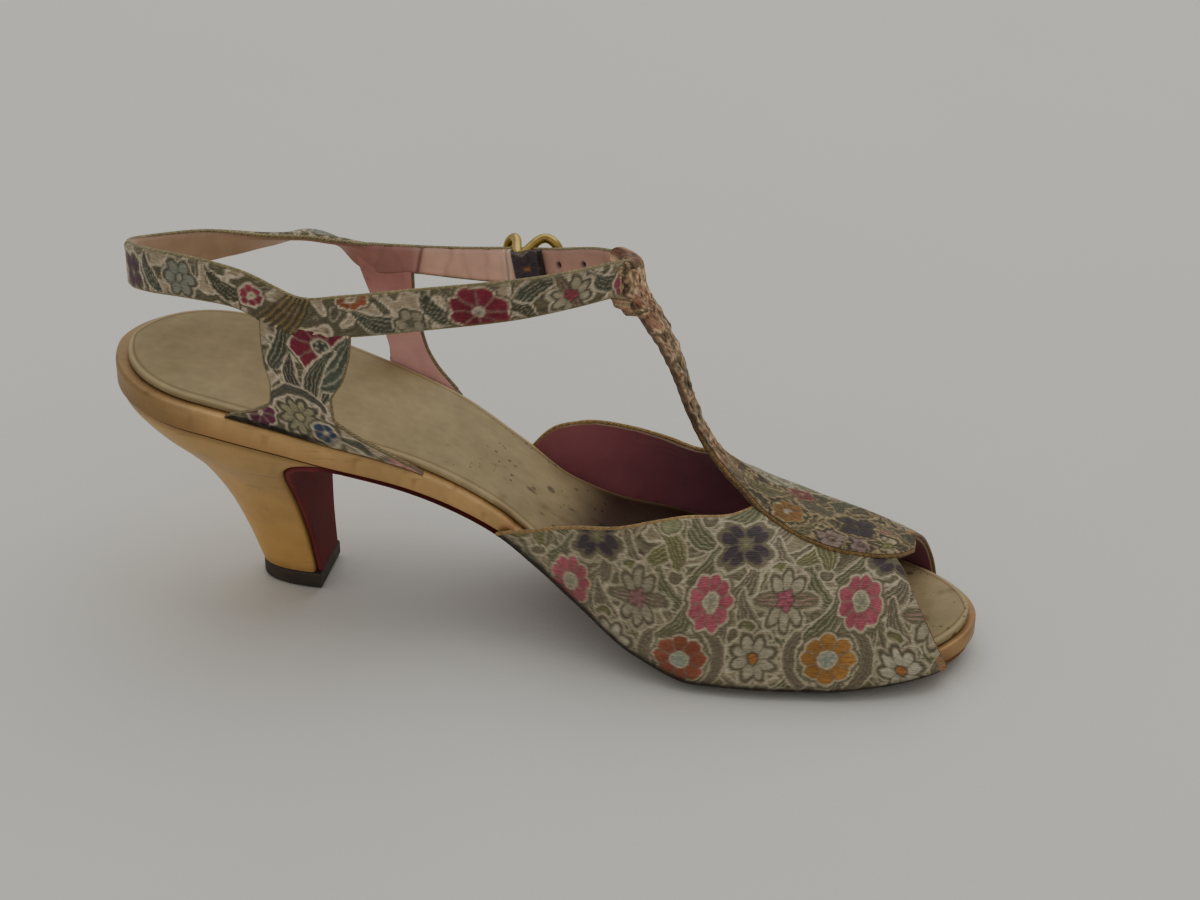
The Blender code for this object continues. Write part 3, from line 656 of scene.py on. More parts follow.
class Canvas:
    """Tint and relief of the cloth at many places at once."""

    def __init__(self, along: Array, across: Array, palette: Palette) -> None:
        """Starts with the bare ground.

        Args:
            along: Places along the weave.
            across: Places across it.
            palette: The threads.
        """
        self.along, self.across = along, across
        self.deep, self.green, self.line = palette.deep, palette.leaf, palette.line
        self.tint = np.broadcast_to(tone(palette.ground), (len(along), 3)).copy()
        self.relief = np.full(len(along), 0.2)
        self.where: Array = np.arange(len(along))

    def lay(self, cover: Array, colour: str | Array, height: float) -> None:
        """Weaves a colour over the places in hand.

        Args:
            cover: How far the colour covers each place, from 0 to 1.
            colour: A hex code, or a colour for each place.
            height: How far the figure stands up.
        """
        shade = tone(colour) if isinstance(colour, str) else colour
        self.tint[self.where] += cover[:, None] * (shade - self.tint[self.where])
        self.relief[self.where] += cover * (height - self.relief[self.where])

    def scrollwork(self, size: float, seed: int) -> None:
        """Broad curling leaves between pale outlines, all over the ground.

        Args:
            size: Width of a curl.
            seed: Picks the drawing.
        """
        def field_at(a: Array, c: Array) -> Array:
            """Height of the field whose contours are the outlines."""
            warp = [0.9 * noise(a / (1.7 * size), c / (1.7 * size), seed + k) for k in (1, 2)]
            return noise(a / size + warp[0], c / size + warp[1], seed)

        step = 0.15
        here = field_at(self.along, self.across)
        slope = np.hypot(field_at(self.along + step, self.across) - here,
                         field_at(self.along, self.across + step) - here) / step
        slope = np.maximum(slope, 0.03)
        veins = np.sin(2 * np.pi * 6.5 * here)[:, None]
        self.lay(soft(-(here + 0.12) / slope), tone(self.green) * (1 + 0.26 * veins), 0.5)
        self.lay(0.6 * soft((here + 0.55) / slope), self.deep, 0.2)
        ragged = 0.14 * noise(self.along / 1.3, self.across / 1.3, seed + 3)
        self.lay(0.9 * soft(np.abs(here + 0.12) / slope - 0.30 - ragged), self.line, 1.0)
        self.lay(0.5 * soft(np.abs(here - 0.42) / slope - 0.12 - ragged), self.line, 0.9)

    def draw(self, motif: Motif) -> None:
        """Weaves one figure.

        Args:
            motif: The figure.
        """
        reach = 1.5 * motif.size + 1.5
        x, y = self.along - motif.along, self.across - motif.across
        self.where = np.nonzero(x * x + y * y < reach * reach)[0]
        if not len(self.where):
            return
        turn = math.radians(motif.heading)
        x, y = x[self.where], y[self.where]
        self.motif = motif
        self.x = x * math.cos(turn) + y * math.sin(turn)
        self.y = y * math.cos(turn) - x * math.sin(turn)
        getattr(self, motif.kind.value)()

    def polar(self) -> tuple[Array, Array]:
        """Distance from the flower's heart, as a share of its size, and direction from it."""
        y = self.y / self.motif.narrow
        return np.hypot(self.x, y) / self.motif.size, np.arctan2(y, self.x)

    def fold(self, a: Array) -> tuple[float, Array]:
        """Angle of one petal's share of the flower, and each direction within its share."""
        part = 2 * np.pi / self.motif.petals
        return part, (a + part / 2) % part - part / 2

    def rosette(self) -> None:
        """A ring of blunt petals parted by thin lines, round a beaded heart, in a pale scalloped outline."""
        motif = self.motif
        r, a = self.polar()
        part, fold = self.fold(a)
        uneven = np.sin(7.3 * np.floor((a + part / 2) / part) + motif.along)
        rim = (r - 0.84 - 0.15 * np.cos(np.pi * fold / part) - 0.03 * uneven) * motif.size
        parting = 0.30 - r * np.sin(part / 2 - np.abs(fold)) * motif.size
        petal = np.maximum(np.maximum(rim, parting), (motif.core + 0.05 - r) * motif.size)
        self.lay(soft(rim - 1.2), self.green, 0.4)
        self.lay(0.9 * soft(rim - 0.55), self.line, 1.0)
        self.lay(soft(rim), 0.38 * tone(motif.colour) + 0.22 * tone(self.line), 0.5)
        shade = 0.80 + 0.11 * uneven + 0.30 * (r - 0.4)
        self.lay(soft(petal), tone(motif.colour) * shade[:, None], 0.85)
        self.lay(0.9 * soft((r - motif.core) * motif.size), self.line, 0.9)
        self.lay(soft((r - motif.core) * motif.size + 0.42), motif.heart, 0.7)
        spoke = np.round(a * 5 / np.pi / 2) * np.pi * 2 / 5
        out = 0.52 * motif.core
        bead = np.hypot(r * np.cos(a) - out * np.cos(spoke), r * np.sin(a) - out * np.sin(spoke)) * motif.size
        self.lay(0.6 * soft(bead - 0.15 * motif.core * motif.size), self.line, 1.0)

    def daisy(self) -> None:
        """Separate long petals with dark outlines, round a small heart."""
        motif = self.motif
        r, a = self.polar()
        _, fold = self.fold(a)
        long, wide = 0.37, 0.52 * math.tan(math.pi / motif.petals)
        inside = np.hypot((r * np.cos(fold) - 0.62) / long, r * np.sin(fold) / wide) - 1
        petal = inside * min(long, wide) * motif.size
        self.lay(0.8 * soft(petal - 1.15), self.line, 1.0)
        self.lay(soft(petal - 0.75), self.green, 0.4)
        self.lay(soft(petal - 0.30), self.deep, 0.3)
        self.lay(soft(petal), tone(motif.colour) * (0.62 + 0.42 * r)[:, None], 0.9)
        self.lay(soft((r - 0.27) * motif.size), self.deep, 0.4)
        self.lay(soft((r - 0.21) * motif.size), motif.heart, 1.0)

    def crown(self) -> None:
        """Three pale petals above and three below a lobed heart, with striped wings at its sides."""
        motif, x, y = self.motif, self.x, self.y
        u, v = np.abs(x) / motif.size, np.abs(y / motif.narrow) / motif.size
        r, a = np.hypot(u, v), np.arctan2(y, x)
        petal = np.hypot(u / 0.20, (v - 0.68) / 0.36) - 1
        lean = math.radians(40)
        aside, ahead = u * math.cos(lean) - v * math.sin(lean), u * math.sin(lean) + v * math.cos(lean)
        petal = 0.2 * motif.size * np.minimum(petal, np.hypot(aside / 0.21, (ahead - 0.66) / 0.34) - 1)
        wing = (np.hypot((u - 0.74) / 0.46, v / 0.2) - 1) * 0.2 * motif.size
        both = np.minimum(petal, wing)
        self.lay(0.8 * soft(both - 1.0), self.line, 1.0)
        self.lay(soft(both - 0.6), self.green, 0.4)
        self.lay(soft(petal - 0.28), self.deep, 0.3)
        self.lay(soft(petal), tone(motif.colour) * (0.66 + 0.34 * r)[:, None], 0.9)
        stripe = ease(np.sin(2 * np.pi * y / 1.1), -0.3, 0.5)
        self.lay(0.75 * soft(wing) * stripe, 0.5 * (tone(motif.heart) + tone(motif.colour)), 0.8)
        lobes = (r - 0.33 - 0.06 * np.cos(5 * a)) * motif.size
        self.lay(soft(lobes - 0.25), self.deep, 0.5)
        self.lay(soft(lobes), tone(motif.heart) * (0.85 + 0.15 * np.cos(5 * a))[:, None], 1.0)

    def violet(self) -> None:
        """Four pairs of dark petals on the diagonals, with a pale outline."""
        motif = self.motif
        r, a = self.polar()
        fold = a % (np.pi / 2) - np.pi / 4
        px, py = r * np.cos(fold) - 0.64, np.abs(r * np.sin(fold)) - 0.19
        petal = (np.hypot(px / 0.36, py / 0.20) - 1) * 0.20 * motif.size
        self.lay(0.8 * soft(petal - 1.35), self.line, 1.0)
        self.lay(soft(petal - 0.9), self.green, 0.4)
        self.lay(soft(petal), tone(motif.colour) * (0.75 + 0.35 * r)[:, None], 0.8)
        self.lay(0.7 * soft((r - 0.16) * motif.size), motif.heart, 1.0)

    def leaf(self) -> None:
        """A curled leaf with a midrib, slanting veins and a pale outline."""
        motif, x, y = self.motif, self.x, self.y
        t = x / motif.size
        y = y - motif.bend * motif.size * (t * t - 0.5)
        wide = 0.36 * motif.narrow * motif.size * np.sqrt(np.clip(1 - t * t, 0, 1)) * (1 - 0.4 * t)
        rim = np.maximum(np.abs(y) - wide, (np.abs(t) - 1) * motif.size)
        veins = np.sin(2 * np.pi * 2.1 * y / np.maximum(wide, 0.4))
        self.lay(0.9 * soft(rim - 0.42), self.line, 1.0)
        self.lay(soft(rim), tone(motif.colour) * (1 + 0.2 * veins)[:, None], 0.6)
        self.lay(0.32 * ease(veins, 0.5, 1.0) * soft(rim + 0.2), self.line, 0.8)
        self.lay(0.6 * soft(np.abs(y) - 0.1) * soft(rim + 0.3), self.deep, 0.4)

    def crescent(self) -> None:
        """A leaf bent round a flower; size is the radius of its middle line, narrow half of its width."""
        motif, x, y = self.motif, self.x, self.y
        r, a = np.hypot(x, y), np.arctan2(y, x)
        half = motif.narrow * np.sqrt(np.clip(1 - (a / motif.bend) ** 2, 0, 1))
        rim = np.maximum(np.abs(r - motif.size) - half, (np.abs(a) - motif.bend) * motif.size)
        veins = np.sin(2 * np.pi * (r + 0.5 * np.abs(a)) / 0.95)[:, None]
        self.lay(0.9 * soft(rim - 0.4), self.line, 1.0)
        self.lay(soft(rim), tone(motif.colour) * (1 + 0.2 * veins), 0.6)

    def bud(self) -> None:
        """A small oval with a dark and a pale outline."""
        motif, x, y = self.motif, self.x, self.y
        rim = (np.hypot(x, y / motif.narrow) / motif.size - 1) * motif.size * min(1, motif.narrow)
        self.lay(0.9 * soft(rim - 0.65), self.line, 1.0)
        self.lay(soft(rim - 0.25), self.deep, 0.4)
        self.lay(soft(rim), motif.colour, 0.7)


@dataclass(frozen=True)
class Chart:
    """A panel's weave: its threads, its scrollwork and its figures."""

    palette: Palette
    motifs: tuple[Motif, ...]
    curl: float = 7.0
    seed: int = 5
    sway: float = 1.0
    fleck: float = 0.12

    def paint(self, cloth: Array) -> tuple[Array, Array]:
        """Works out the panel.

        Args:
            cloth: Place of each point along and across the weave.

        Returns:
            The tint and the relief of each point.
        """
        along, across = cloth[..., 0].ravel(), cloth[..., 1].ravel()
        for size, sway in ((3.4, 0.40), (1.2, 0.26)):
            shift = [self.sway * sway * noise(along / size, across / size, self.seed + k) for k in (7, 8)]
            along, across = along + shift[0], across + shift[1]
        canvas = Canvas(along, across, self.palette)
        canvas.scrollwork(self.curl, self.seed)
        for motif in self.motifs:
            canvas.draw(motif)
        canvas.tint *= (1 + self.fleck * noise(along / 0.9, across / 0.75, self.seed + 9))[:, None]
        shape = cloth.shape[:-1]
        return canvas.tint.reshape(*shape, 3), canvas.relief.reshape(shape)


FADED = Palette(ground="#8c8268", deep="#554f3d", leaf="#726a54", line="#c3b79a")
WORN = Chart(Palette(ground="#967059", deep="#45301f", leaf="#655840", line="#cdb08c"), (), 3.0, 55)
CRISP = Palette(ground="#aa9a80", deep="#48443a", leaf="#645e4a", line="#dccbb0")
PINK, ORANGE, AMBER, NIGHT, CREAM = "#b05c66", "#985640", "#a97a40", "#4c4144", "#afa58a"
CRIMSON, PLUM, INDIGO, OLIVE, TAUPE, GREEN = "#822c3b", "#563046", "#3a4c66", "#73714c", "#766c58", "#515444"
MOSS = "#6c6b50"


# The sole

@dataclass(frozen=True)
class SoleShape:
    """The board under the foot, which every other piece is set against."""

    heel_round: float = 27.0
    toe_round: float = 35.0
    end: float = 0.05
    table: Table = Table("station centre half top board cant", (
        (0, -1.5, 26.6, 65.0, 6.5, 0.0),
        (18, -1.4, 27.0, 62.8, 6.5, 0.0),
        (36, -1.2, 27.6, 59.7, 6.4, 0.0),
        (57, -1.2, 26.4, 54.6, 6.0, 0.0),
        (82, 0.2, 23.0, 46.2, 5.2, 0.0),
        (103, 1.8, 20.8, 34.0, 4.4, 1.2),
        (115, 1.8, 23.2, 26.2, 4.1, 4.2),
        (125, 1.4, 26.6, 19.9, 4.0, 3.6),
        (142, 0.4, 33.0, 10.6, 4.0, 0.0),
        (158, 0.0, 36.3, 6.5, 4.0, 0.0),
        (172, -0.3, 35.6, 6.5, 4.0, 0.0),
        (186, -1.3, 32.6, 6.5, 4.0, 0.0),
        (205, -3.4, 28.2, 7.6, 4.0, 0.0),
        (225, -5.5, 26.0, 10.4, 4.0, 0.0),
    ))

    def half_width(self, x: Array, inset: Array | float) -> Array:
        """Half of the board's width in plan, drawn in by an inset.

        Args:
            x: Stations.
            inset: How far it is drawn in.

        Returns:
            Half of the width at each station.
        """
        heel = np.clip((self.heel_round - x) / (self.heel_round - inset), 0, 1)
        toe = np.clip((x - LENGTH + self.toe_round) / (self.toe_round - inset), 0, 1)
        return (self.table.at("half", x) - inset) * np.sqrt((1 - heel**2) * (1 - toe**2))

    def edge(self, x: Array, side: Array | int, inset: Array | float) -> Array:
        """Where the board's edge, drawn in by an inset, lies across the shoe."""
        return self.table.at("centre", x) + side * self.half_width(x, inset)

    def fall(self, x: Array, y: Array | float) -> Array:
        """How far the board has dropped from its near edge at a place across the shoe."""
        across = (y - self.table.at("centre", x)) / self.table.at("half", x)
        return self.table.at("cant", x) * np.clip(0.5 + 0.5 * across, 0, 1)

    def top(self, x: Array, y: Array | float) -> Array:
        """Height of the board's upper face."""
        return self.table.at("top", x) - self.fall(x, y)

    def bottom(self, x: Array, y: Array | float) -> Array:
        """Height of the board's lower face."""
        return self.top(x, y) - self.table.at("board", x)

    def stations(self, first: float, last: float, count: int) -> Array:
        """Stations that crowd together towards both rounded ends."""
        turns = np.linspace(0.03, np.pi - 0.03, count)
        return first + (last - first) * 0.5 * (1 - np.cos(turns) / math.cos(turns[0]))


SOLE = SoleShape()


def slab(x: Array, near: Array, far: Array, low: Array, high: Array, corners: Pair,
         flat: int) -> Array:
    """Sections of a sole layer, with rounded edges.

    Args:
        x: Station of each section.
        near: Its near edge.
        far: Its far edge.
        low: Height of its lower face at the near edge, before the board's cant.
        high: Height of its upper face there.
        corners: Radius of its lower and upper edges.
        flat: Points across each face.

    Returns:
        Sections by points round them.
    """
    room = np.minimum(0.45 * (far - near), 0.49 * (high - low))
    c, d = (np.minimum(corner, room)[:, None] for corner in corners)
    arc = np.linspace(0, np.pi / 2, 7)
    near, far, low, high = (v[:, None] for v in (near, far, low, high))
    across = np.linspace(0, 1, flat + 2)[1:-1]
    ys, zs = [], []
    for y0, z0, radius, start in ((near + c, low + c, c, np.pi), (far - c, low + c, c, 1.5 * np.pi),
                                  (far - d, high - d, d, 0.0), (near + d, high - d, d, 0.5 * np.pi)):
        ys.append(y0 + radius * np.cos(start + arc))
        zs.append(z0 + radius * np.sin(start + arc))
    faces = [near + v + (far - near - 2 * v) * across for v in (c, d)]
    y = np.concatenate([ys[0], faces[0], ys[1], ys[2], faces[1][:, ::-1], ys[3]], axis=1)
    level = [np.broadcast_to(v, faces[0].shape) for v in (low, high)]
    z = np.concatenate([zs[0], level[0], zs[1], zs[2], level[1], zs[3]], axis=1)
    x = x[:, None]
    return placed(x, y, z - SOLE.fall(x, y))


@dataclass
class Bottom:
    """The gold rim board, the sock on it and the leather sole under it."""

    sock_inset: float = 3.3
    toe_inset: float = 2.1
    sock_thick: float = 1.6
    rim_corners: Pair = (0.5, 1.5)
    sock_corners: Pair = (0.3, 0.6)
    sock_crown: float = 0.35
    toe_from: float = 200.0
    flap_corner: float = 0.6
    flap_from: float = 64.0
    sole_ends: Pair = (1.7, 2.2)
    spots: Rows = (
        (108.5, -1.0, 0.75, 0.9), (118.5, 3.5, 0.6, 0.8), (112.5, -7.5, 0.4, 0.6), (114.5, -4.0, 0.35, 0.5),
        (96.0, -3.0, 0.35, 0.5), (99.0, -1.5, 0.3, 0.5), (101.5, 0.5, 0.3, 0.5), (93.0, 1.0, 0.3, 0.4),
        (104.0, 6.5, 0.35, 0.5), (115.5, 8.0, 0.4, 0.5), (124.0, 5.0, 0.5, 0.6), (129.0, 0.5, 0.7, 0.8),
        (131.5, 6.5, 0.6, 0.7), (126.5, -9.0, 0.5, 0.6), (122.0, 11.0, 0.4, 0.6), (88.0, -6.0, 0.3, 0.4),
        (45.0, 6.0, 0.3, 0.4), (28.0, -4.0, 0.25, 0.4), (62.0, 9.0, 0.3, 0.4), (36.0, 10.0, 0.3, 0.3),
    )
    sole_edge: Table = Table("station inset thick", (
        (50, 1.8, 1.4), (62, 1.5, 1.8), (95, 0.9, 1.8), (120, 0.8, 2.0), (140, 1.4, 2.2), (205, 1.6, 2.2),
        (225, 1.4, 2.2),
    ))

    def build(self, heel: "Heel") -> None:
        """Makes the three layers.

        Args:
            heel: The heel whose breast the sole runs down.
        """
        self.board()
        self.sock()
        self.sole(heel)

    def board(self) -> None:
        """The board wrapped in gold kid, rubbed to red-brown at the waist, with painted shade browning the
        toe and the heel's back.
        """
        x = SOLE.stations(SOLE.end, LENGTH - SOLE.end, 320)
        near, far = (SOLE.edge(x, side.value, 0) for side in Side)
        top = SOLE.table.at("top", x)
        points = slab(x, near, far, top - SOLE.table.at("board", x), top, self.rim_corners, 18)
        s, y, z = np.moveaxis(points, -1, 0)
        tint = dyed("#c19b66", points)
        swell = noise(s / 13, y / 13 + z / 9, 4)
        tint *= (1 + 0.10 * swell + 0.06 * noise(s / 2.5, y / 3 + z / 1.5, 5))[..., None]
        depth = SOLE.top(s, y) - z
        rub(tint, 0.45 * ease(depth, 4.4, 6.4) * ease(s, 130, 60), "#8a5c30")
        # Painted shade: brown patches at the toe.
        rub(tint, 0.7 * ease(s, 190, 212) * ease(swell, -0.9, 0.3), "#866241")
        # Painted shade: darker towards the heel's back.
        tint *= (1 - 0.42 * ease(s, 42, 8))[..., None]
        red = hump(s - 113, 6) * ease(noise(s / 4, z / 3, 9), -0.5, 0.4) * ease(depth, 3.4, 1.5)
        rub(tint, 0.85 * red, "#8a3018")
        rubbed = ease(noise(s / 6, y / 20 + z / 1.6, 12), 0.4, 0.9)
        rub(tint, 0.55 * rubbed, "#6f4526")
        pits = ease(noise(s / 1.4, y / 5 + z / 1.4, 13), 0.62, 0.95)
        pits *= ease(noise(s / 15, z / 8, 14), -0.2, 0.6)
        rub(tint, 0.6 * pits, "#5d3c22")
        mesher = Mesher("midsole_rim")
        pitted = 0.8 * ease(noise(s / 18, y / 14 + z / 6, 15), -0.1, 0.7)
        mesher.shell(points, GOLD_KID, tint, pitted)
        mesher.build("midsole")

    def sock(self) -> None:
        """The kid sock: smooth at the heel, stained along the waist, and dark under the vamp with a stain and
        painted shade.
        """
        x = SOLE.stations(self.sock_inset + SOLE.end, LENGTH - self.toe_inset - SOLE.end, 300)
        inset = np.where(x < self.toe_from, self.sock_inset, self.toe_inset)
        near, far = (SOLE.edge(x, side.value, inset) for side in Side)
        low = SOLE.table.at("top", x) + GAP
        points = slab(x, near, far, low, low + self.sock_thick, self.sock_corners, 70)
        s, y, z = np.moveaxis(points, -1, 0)
        middle = (near + far)[:, None] / 2
        across = (y - middle) / np.maximum((far - near)[:, None] / 2, 1)
        upper = ease(z - SOLE.top(s, y), 1.0, 1.8)
        groove = 0.6 * hump(1 - np.abs(across), 0.05)
        points[..., 2] += self.sock_crown * upper * (np.clip(1 - across**2, 0, 1) - groove)
        slope = np.gradient((far - near) / 2, x)[:, None]
        edge = (1 - np.abs(across)) * (far - near)[:, None] / 2 / np.hypot(1, slope)
        tint = dyed("#a4936e", points)
        cloudy = 1 + 0.09 * noise(s / 22, y / 16, 31) + 0.06 * noise(s / 6, y / 5, 32)
        tint *= (cloudy + 0.07 * noise(s / 2, y / 2, 36))[..., None]
        tint *= (1 - 0.12 * ease(s, 62, 40))[..., None]
        rub(tint, 0.35 * ease(noise(s / 9, y / 26, 37), 0.1, 0.7), "#8d7f58")
        pale = ease(noise(s / 16, y / 22, 35), 0.1, 0.8) * ease(s, 50, 90) * ease(s, 150, 120)
        rub(tint, 0.4 * pale, "#b3a27a")
        # Painted shade together with a dark stain under the vamp, from its throat to the toes.
        rub(tint, 0.95 * ease(s, 110, 128) * ease(s, 206, 192), "#361f1a")
        stain = ease(noise(s / 9, y / 6, 33) + 0.5 * noise(s / 3, y / 3, 34), 0.45, 1.0) * ease(s, 80, 112)
        rub(tint, 0.5 * stain, "#6b4a30")
        rub(tint, 0.55 * hump(edge - 0.8, 0.45), "#c4b083")
        rub(tint, 0.6 * hump(edge - 1.8, 0.35), "#6d5632")
        for station, side, size, dark in self.spots:
            spot = soft(np.hypot(s - station, y - side) - size, 0.7)
            rub(tint, dark * spot, "#3a2415")
        scrape = hump(s - 121 - 0.25 * y, 0.5) * ease(np.abs(y + 5.5), 3.2, 2.2)
        rub(tint, 0.7 * scrape, "#6e2a18")
        mesher = Mesher("insole_sock")
        dirty = 0.3 + 1.7 * ease(s, 76, 104) * ease(noise(s / 14, y / 10, 38), -0.7, 0.5)
        mesher.shell(points, SOCK_KID, tint, dirty)
        mesher.build("insole")

    def sole(self, heel: "Heel") -> None:
        """The leather sole, from the toe along the waist and down the heel's breast.

        Args:
            heel: The heel whose breast the sole runs down.
        """
        waist = SOLE.stations(SOLE.end, LENGTH - SOLE.end, 320)[::-1]
        last, before = (LENGTH - end for end in self.sole_ends)
        waist = np.concatenate([[last], waist[(waist > self.flap_from) & (waist < before)]])
        path = placed(waist, SOLE.table.at("top", waist) - SOLE.table.at("board", waist) - GAP)
        line, half = heel.breast_line()
        path = np.concatenate([path, line])
        ahead = unit(np.gradient(path, axis=0))
        inset, thick = (self.sole_edge.at(name, path[:, 0])[:, None] for name in ("inset", "thick"))
        x, z = path[:, :1], path[:, 1:]
        half_width = SOLE.half_width(x, inset)
        middle = SOLE.table.at("centre", x)
        down = len(waist)
        half_width[down:] = np.minimum(half[:, None], half_width[down:])
        middle[down:] = heel.middle
        arc = np.linspace(0, np.pi, 9)
        over = np.linspace(-1, 1, 16)[1:-1]
        flat = np.zeros(len(over))
        side = np.concatenate([-np.ones(len(arc)), over, np.ones(len(arc)), np.linspace(1, -1, 16)[1:-1]])
        bulge = np.concatenate([np.sin(arc), flat, np.sin(arc), flat])
        depth = np.concatenate([0.5 - 0.5 * np.cos(arc), flat + 1, 0.5 + 0.5 * np.cos(arc), flat])
        y = middle + side * (half_width - self.flap_corner * (1 - bulge * (np.abs(side) == 1)))
        px = x - ahead[:, 1:] * thick * depth
        pz = z + ahead[:, :1] * thick * depth
        points = placed(px, y, pz - SOLE.fall(x, y))
        s, yy, zz = np.moveaxis(points, -1, 0)
        tint = dyed("#4a1c1c", points)
        tint *= (1 + 0.15 * noise(s / 8, yy / 8 + zz / 8, 41))[..., None]
        rub(tint, ease(s, 64, 56), "#763a3c")
        rim = (np.abs(side) == 1) * np.ones_like(s)
        # Painted shade: the sole's side edges go near-black from station 118 on, a contact shadow under the
        # vamp.
        rub(tint, 0.7 * rim * ease(s, 118, 136), "#241512")
        rub(tint, 0.85 * rim * ease(s, 206, 214), "#7a5634")
        tread = ease(zz, 3.0, 0.4)
        worn = ease(noise(s / 11, yy / 9, 42), -0.5, 0.6)
        rub(tint, 0.75 * tread * worn * depth, "#9a7f62")
        mesher = Mesher("leather_sole")
        mesher.shell(points, SOLE_LEATHER, tint)
        mesher.build("outsole")


@dataclass
class Heel:
    """The covered heel and its rubber top piece."""

    tip_thick: float = 4.5
    flap_thick: float = 1.4
    breast_corner: float = 1.2
    middle: float = float(SOLE.table.at("centre", 30))
    table: Table = Table("drop back breast half", (
        (0.0, 0.4, 60.5, 26.2),
        (0.04, 1.7, 55.6, 25.9),
        (0.09, 4.3, 51.6, 25.2),
        (0.17, 9.0, 49.0, 23.6),
        (0.26, 14.6, 48.6, 21.0),
        (0.39, 21.2, 49.0, 17.4),
        (0.58, 27.4, 49.8, 13.4),
        (0.81, 32.2, 50.8, 10.2),
        (1.0, 35.4, 51.6, 8.8),
    ))

    def build(self) -> None:
        """Makes the heel and its tip."""
        self.body()
        self.tip()

    def breast_line(self) -> tuple[Array, Array]:
        """The line down the breast that the sole lies on, and half of the sole's width there."""
        row = np.linspace(0, len(self.table.rows) - 1, 90)
        drop, breast, half = (self.table.by_row(name, row) for name in ("drop", "breast", "half"))
        top = SOLE.bottom(breast, NEAR_EDGE) - GAP
        line = placed(breast, top + (self.tip_thick + GAP - top) * drop)
        ahead = unit(np.gradient(line, axis=0))
        line = line + GAP * placed(-ahead[:, 1], ahead[:, 0])
        line[-1, 1] = self.tip_thick + GAP
        return line, half - self.breast_corner - 0.1

    def rings(self, x: Array, wide: Array, z: Array, flat: int) -> Array:
        """Rings round the heel with a flat breast.

        Args:
            x: Stations of each ring from its breast to its back.
            wide: Half of its width there.
            z: Heights of the same places.
            flat: Points across the breast.

        Returns:
            Rings by points round them.
        """
        px, pz = (np.concatenate([v, v[:, ::-1], np.repeat(v[:, :1], flat, axis=1)], axis=1) for v in (x, z))
        across = wide[:, :1] * np.linspace(1, -1, flat + 2)[1:-1]
        py = self.middle + np.concatenate([-wide, wide[:, ::-1], across], axis=1)
        return placed(px, py, pz)

    def body(self) -> None:
        """The heel under gold kid, streaked and pitted below its seat seam, lit lower down by painted light,
        darker at its foot.
        """
        row = np.linspace(0, len(self.table.rows) - 1, 150)[:, None]
        drop, back, breast, half = (self.table.by_row(name, row) for name in self.table.columns.split())
        corner = np.linspace(0, 0.12, 14)[:-1]
        t = np.concatenate([corner, 1 - (1 - np.linspace(0, 1, 44)) ** 1.6 * 0.88])[None]
        x = breast + (back - breast) * t
        seat = self.table.rows[0]
        seat_x = seat[2] + (seat[1] - seat[2]) * t
        as_seat = SOLE.half_width(np.maximum(seat_x, 0.5), 0.4) / seat[3]
        blend = np.minimum(1, drop / 0.35)
        wide = half * np.maximum(0.03, as_seat + ((1 - t**2.5) ** 0.4 - as_seat) * blend)
        short = np.maximum(0, self.breast_corner - (breast - x))
        wide = wide - self.breast_corner + np.sqrt(np.maximum(0, self.breast_corner**2 - short**2))
        top = SOLE.bottom(x, NEAR_EDGE) - GAP
        z = top + (self.tip_thick + GAP - top) * drop
        points = self.rings(x, wide, z, 12)
        px, _, pz = np.moveaxis(points, -1, 0)
        tint = dyed("#bd9a66", points)
        tint *= (1 + 0.10 * noise(px / 14, pz / 17, 51) + 0.05 * noise(px / 4, pz / 5, 52))[..., None]
        drops = np.broadcast_to(drop, px.shape)
        # Painted light: the cover turns lighter and yellower towards the foot.
        rub(tint, ease(drops, 0.1, 0.9), "#d2a662")
        rub(tint, 0.5 * ease(drops, 0.05, 0.0), "#6e4a22")
        streak = ease(noise(px / 16 + 3, drops * 9, 53), 0.35, 0.8) * ease(drops, 0.3, 0.05)
        rub(tint, 0.5 * streak, "#7e4d20")
        rub(tint, 0.35 * ease(drops, 0.93, 1.0), "#7d5a2c")
        mesher = Mesher("heel_cover")
        pitted = 0.6 * ease(drops, 0.5, 0.0) * ease(noise(px / 12, pz / 12, 54), -0.3, 0.6)
        mesher.shell(points, GOLD_KID, tint, pitted)
        mesher.build("heel")

    def tip(self) -> None:
        """The rubber top piece, rounded at the floor."""
        foot = self.table.rows[-1]
        front = foot[2] + GAP + self.flap_thick
        level = np.array([0.0, 0.05, 0.25, 0.6, 1.2, 2.4, 3.6, 4.3, 4.45, self.tip_thick])[:, None]
        draw_in = np.interp(level, [0, 0.1, 0.3, 0.6, 4.2, 4.5], [0.6, 0.45, 0.15, 0.0, 0.0, 0.25])
        t = np.sin(0.5 * np.pi * np.linspace(0, 1, 40))[None]
        x = front - draw_in + (foot[1] + 2 * draw_in - front) * t
        wide = (foot[3] - draw_in + 0.2) * np.maximum(0.05, (1 - t**2.5) ** 0.4)
        points = self.rings(x, wide, np.broadcast_to(level, x.shape), 10)
        px, py, pz = np.moveaxis(points, -1, 0)
        tint = dyed("#3b3228", points)
        tint *= (1 + 0.3 * noise(px / 3, pz / 1.2 + py / 3, 61))[..., None]
        mesher = Mesher("heel_tip_rubber")
        mesher.shell(points, TIP_RUBBER, tint)
        mesher.build("heel_tip")


# The vamp

@dataclass(frozen=True)
class Fold:
    """A soft trough or ridge: its place on the cloth, its heading, and its length, width and height."""

    along: float
    across: float
    heading: float
    length: float
    width: float
    height: float

    def lift(self, cloth: Array) -> Array:
        """How far the fold lifts each place.

        Args:
            cloth: Place of each point along and across the weave.

        Returns:
            The lift at each place.
        """
        turn = math.radians(self.heading)
        x, y = cloth[..., 0] - self.along, cloth[..., 1] - self.across
        run = (x * math.cos(turn) + y * math.sin(turn)) / self.length
        side = (y * math.cos(turn) - x * math.sin(turn)) / self.width
        return self.height * np.exp(-run**2) * (1 - 1.2 * side**2) * np.exp(-side**2)


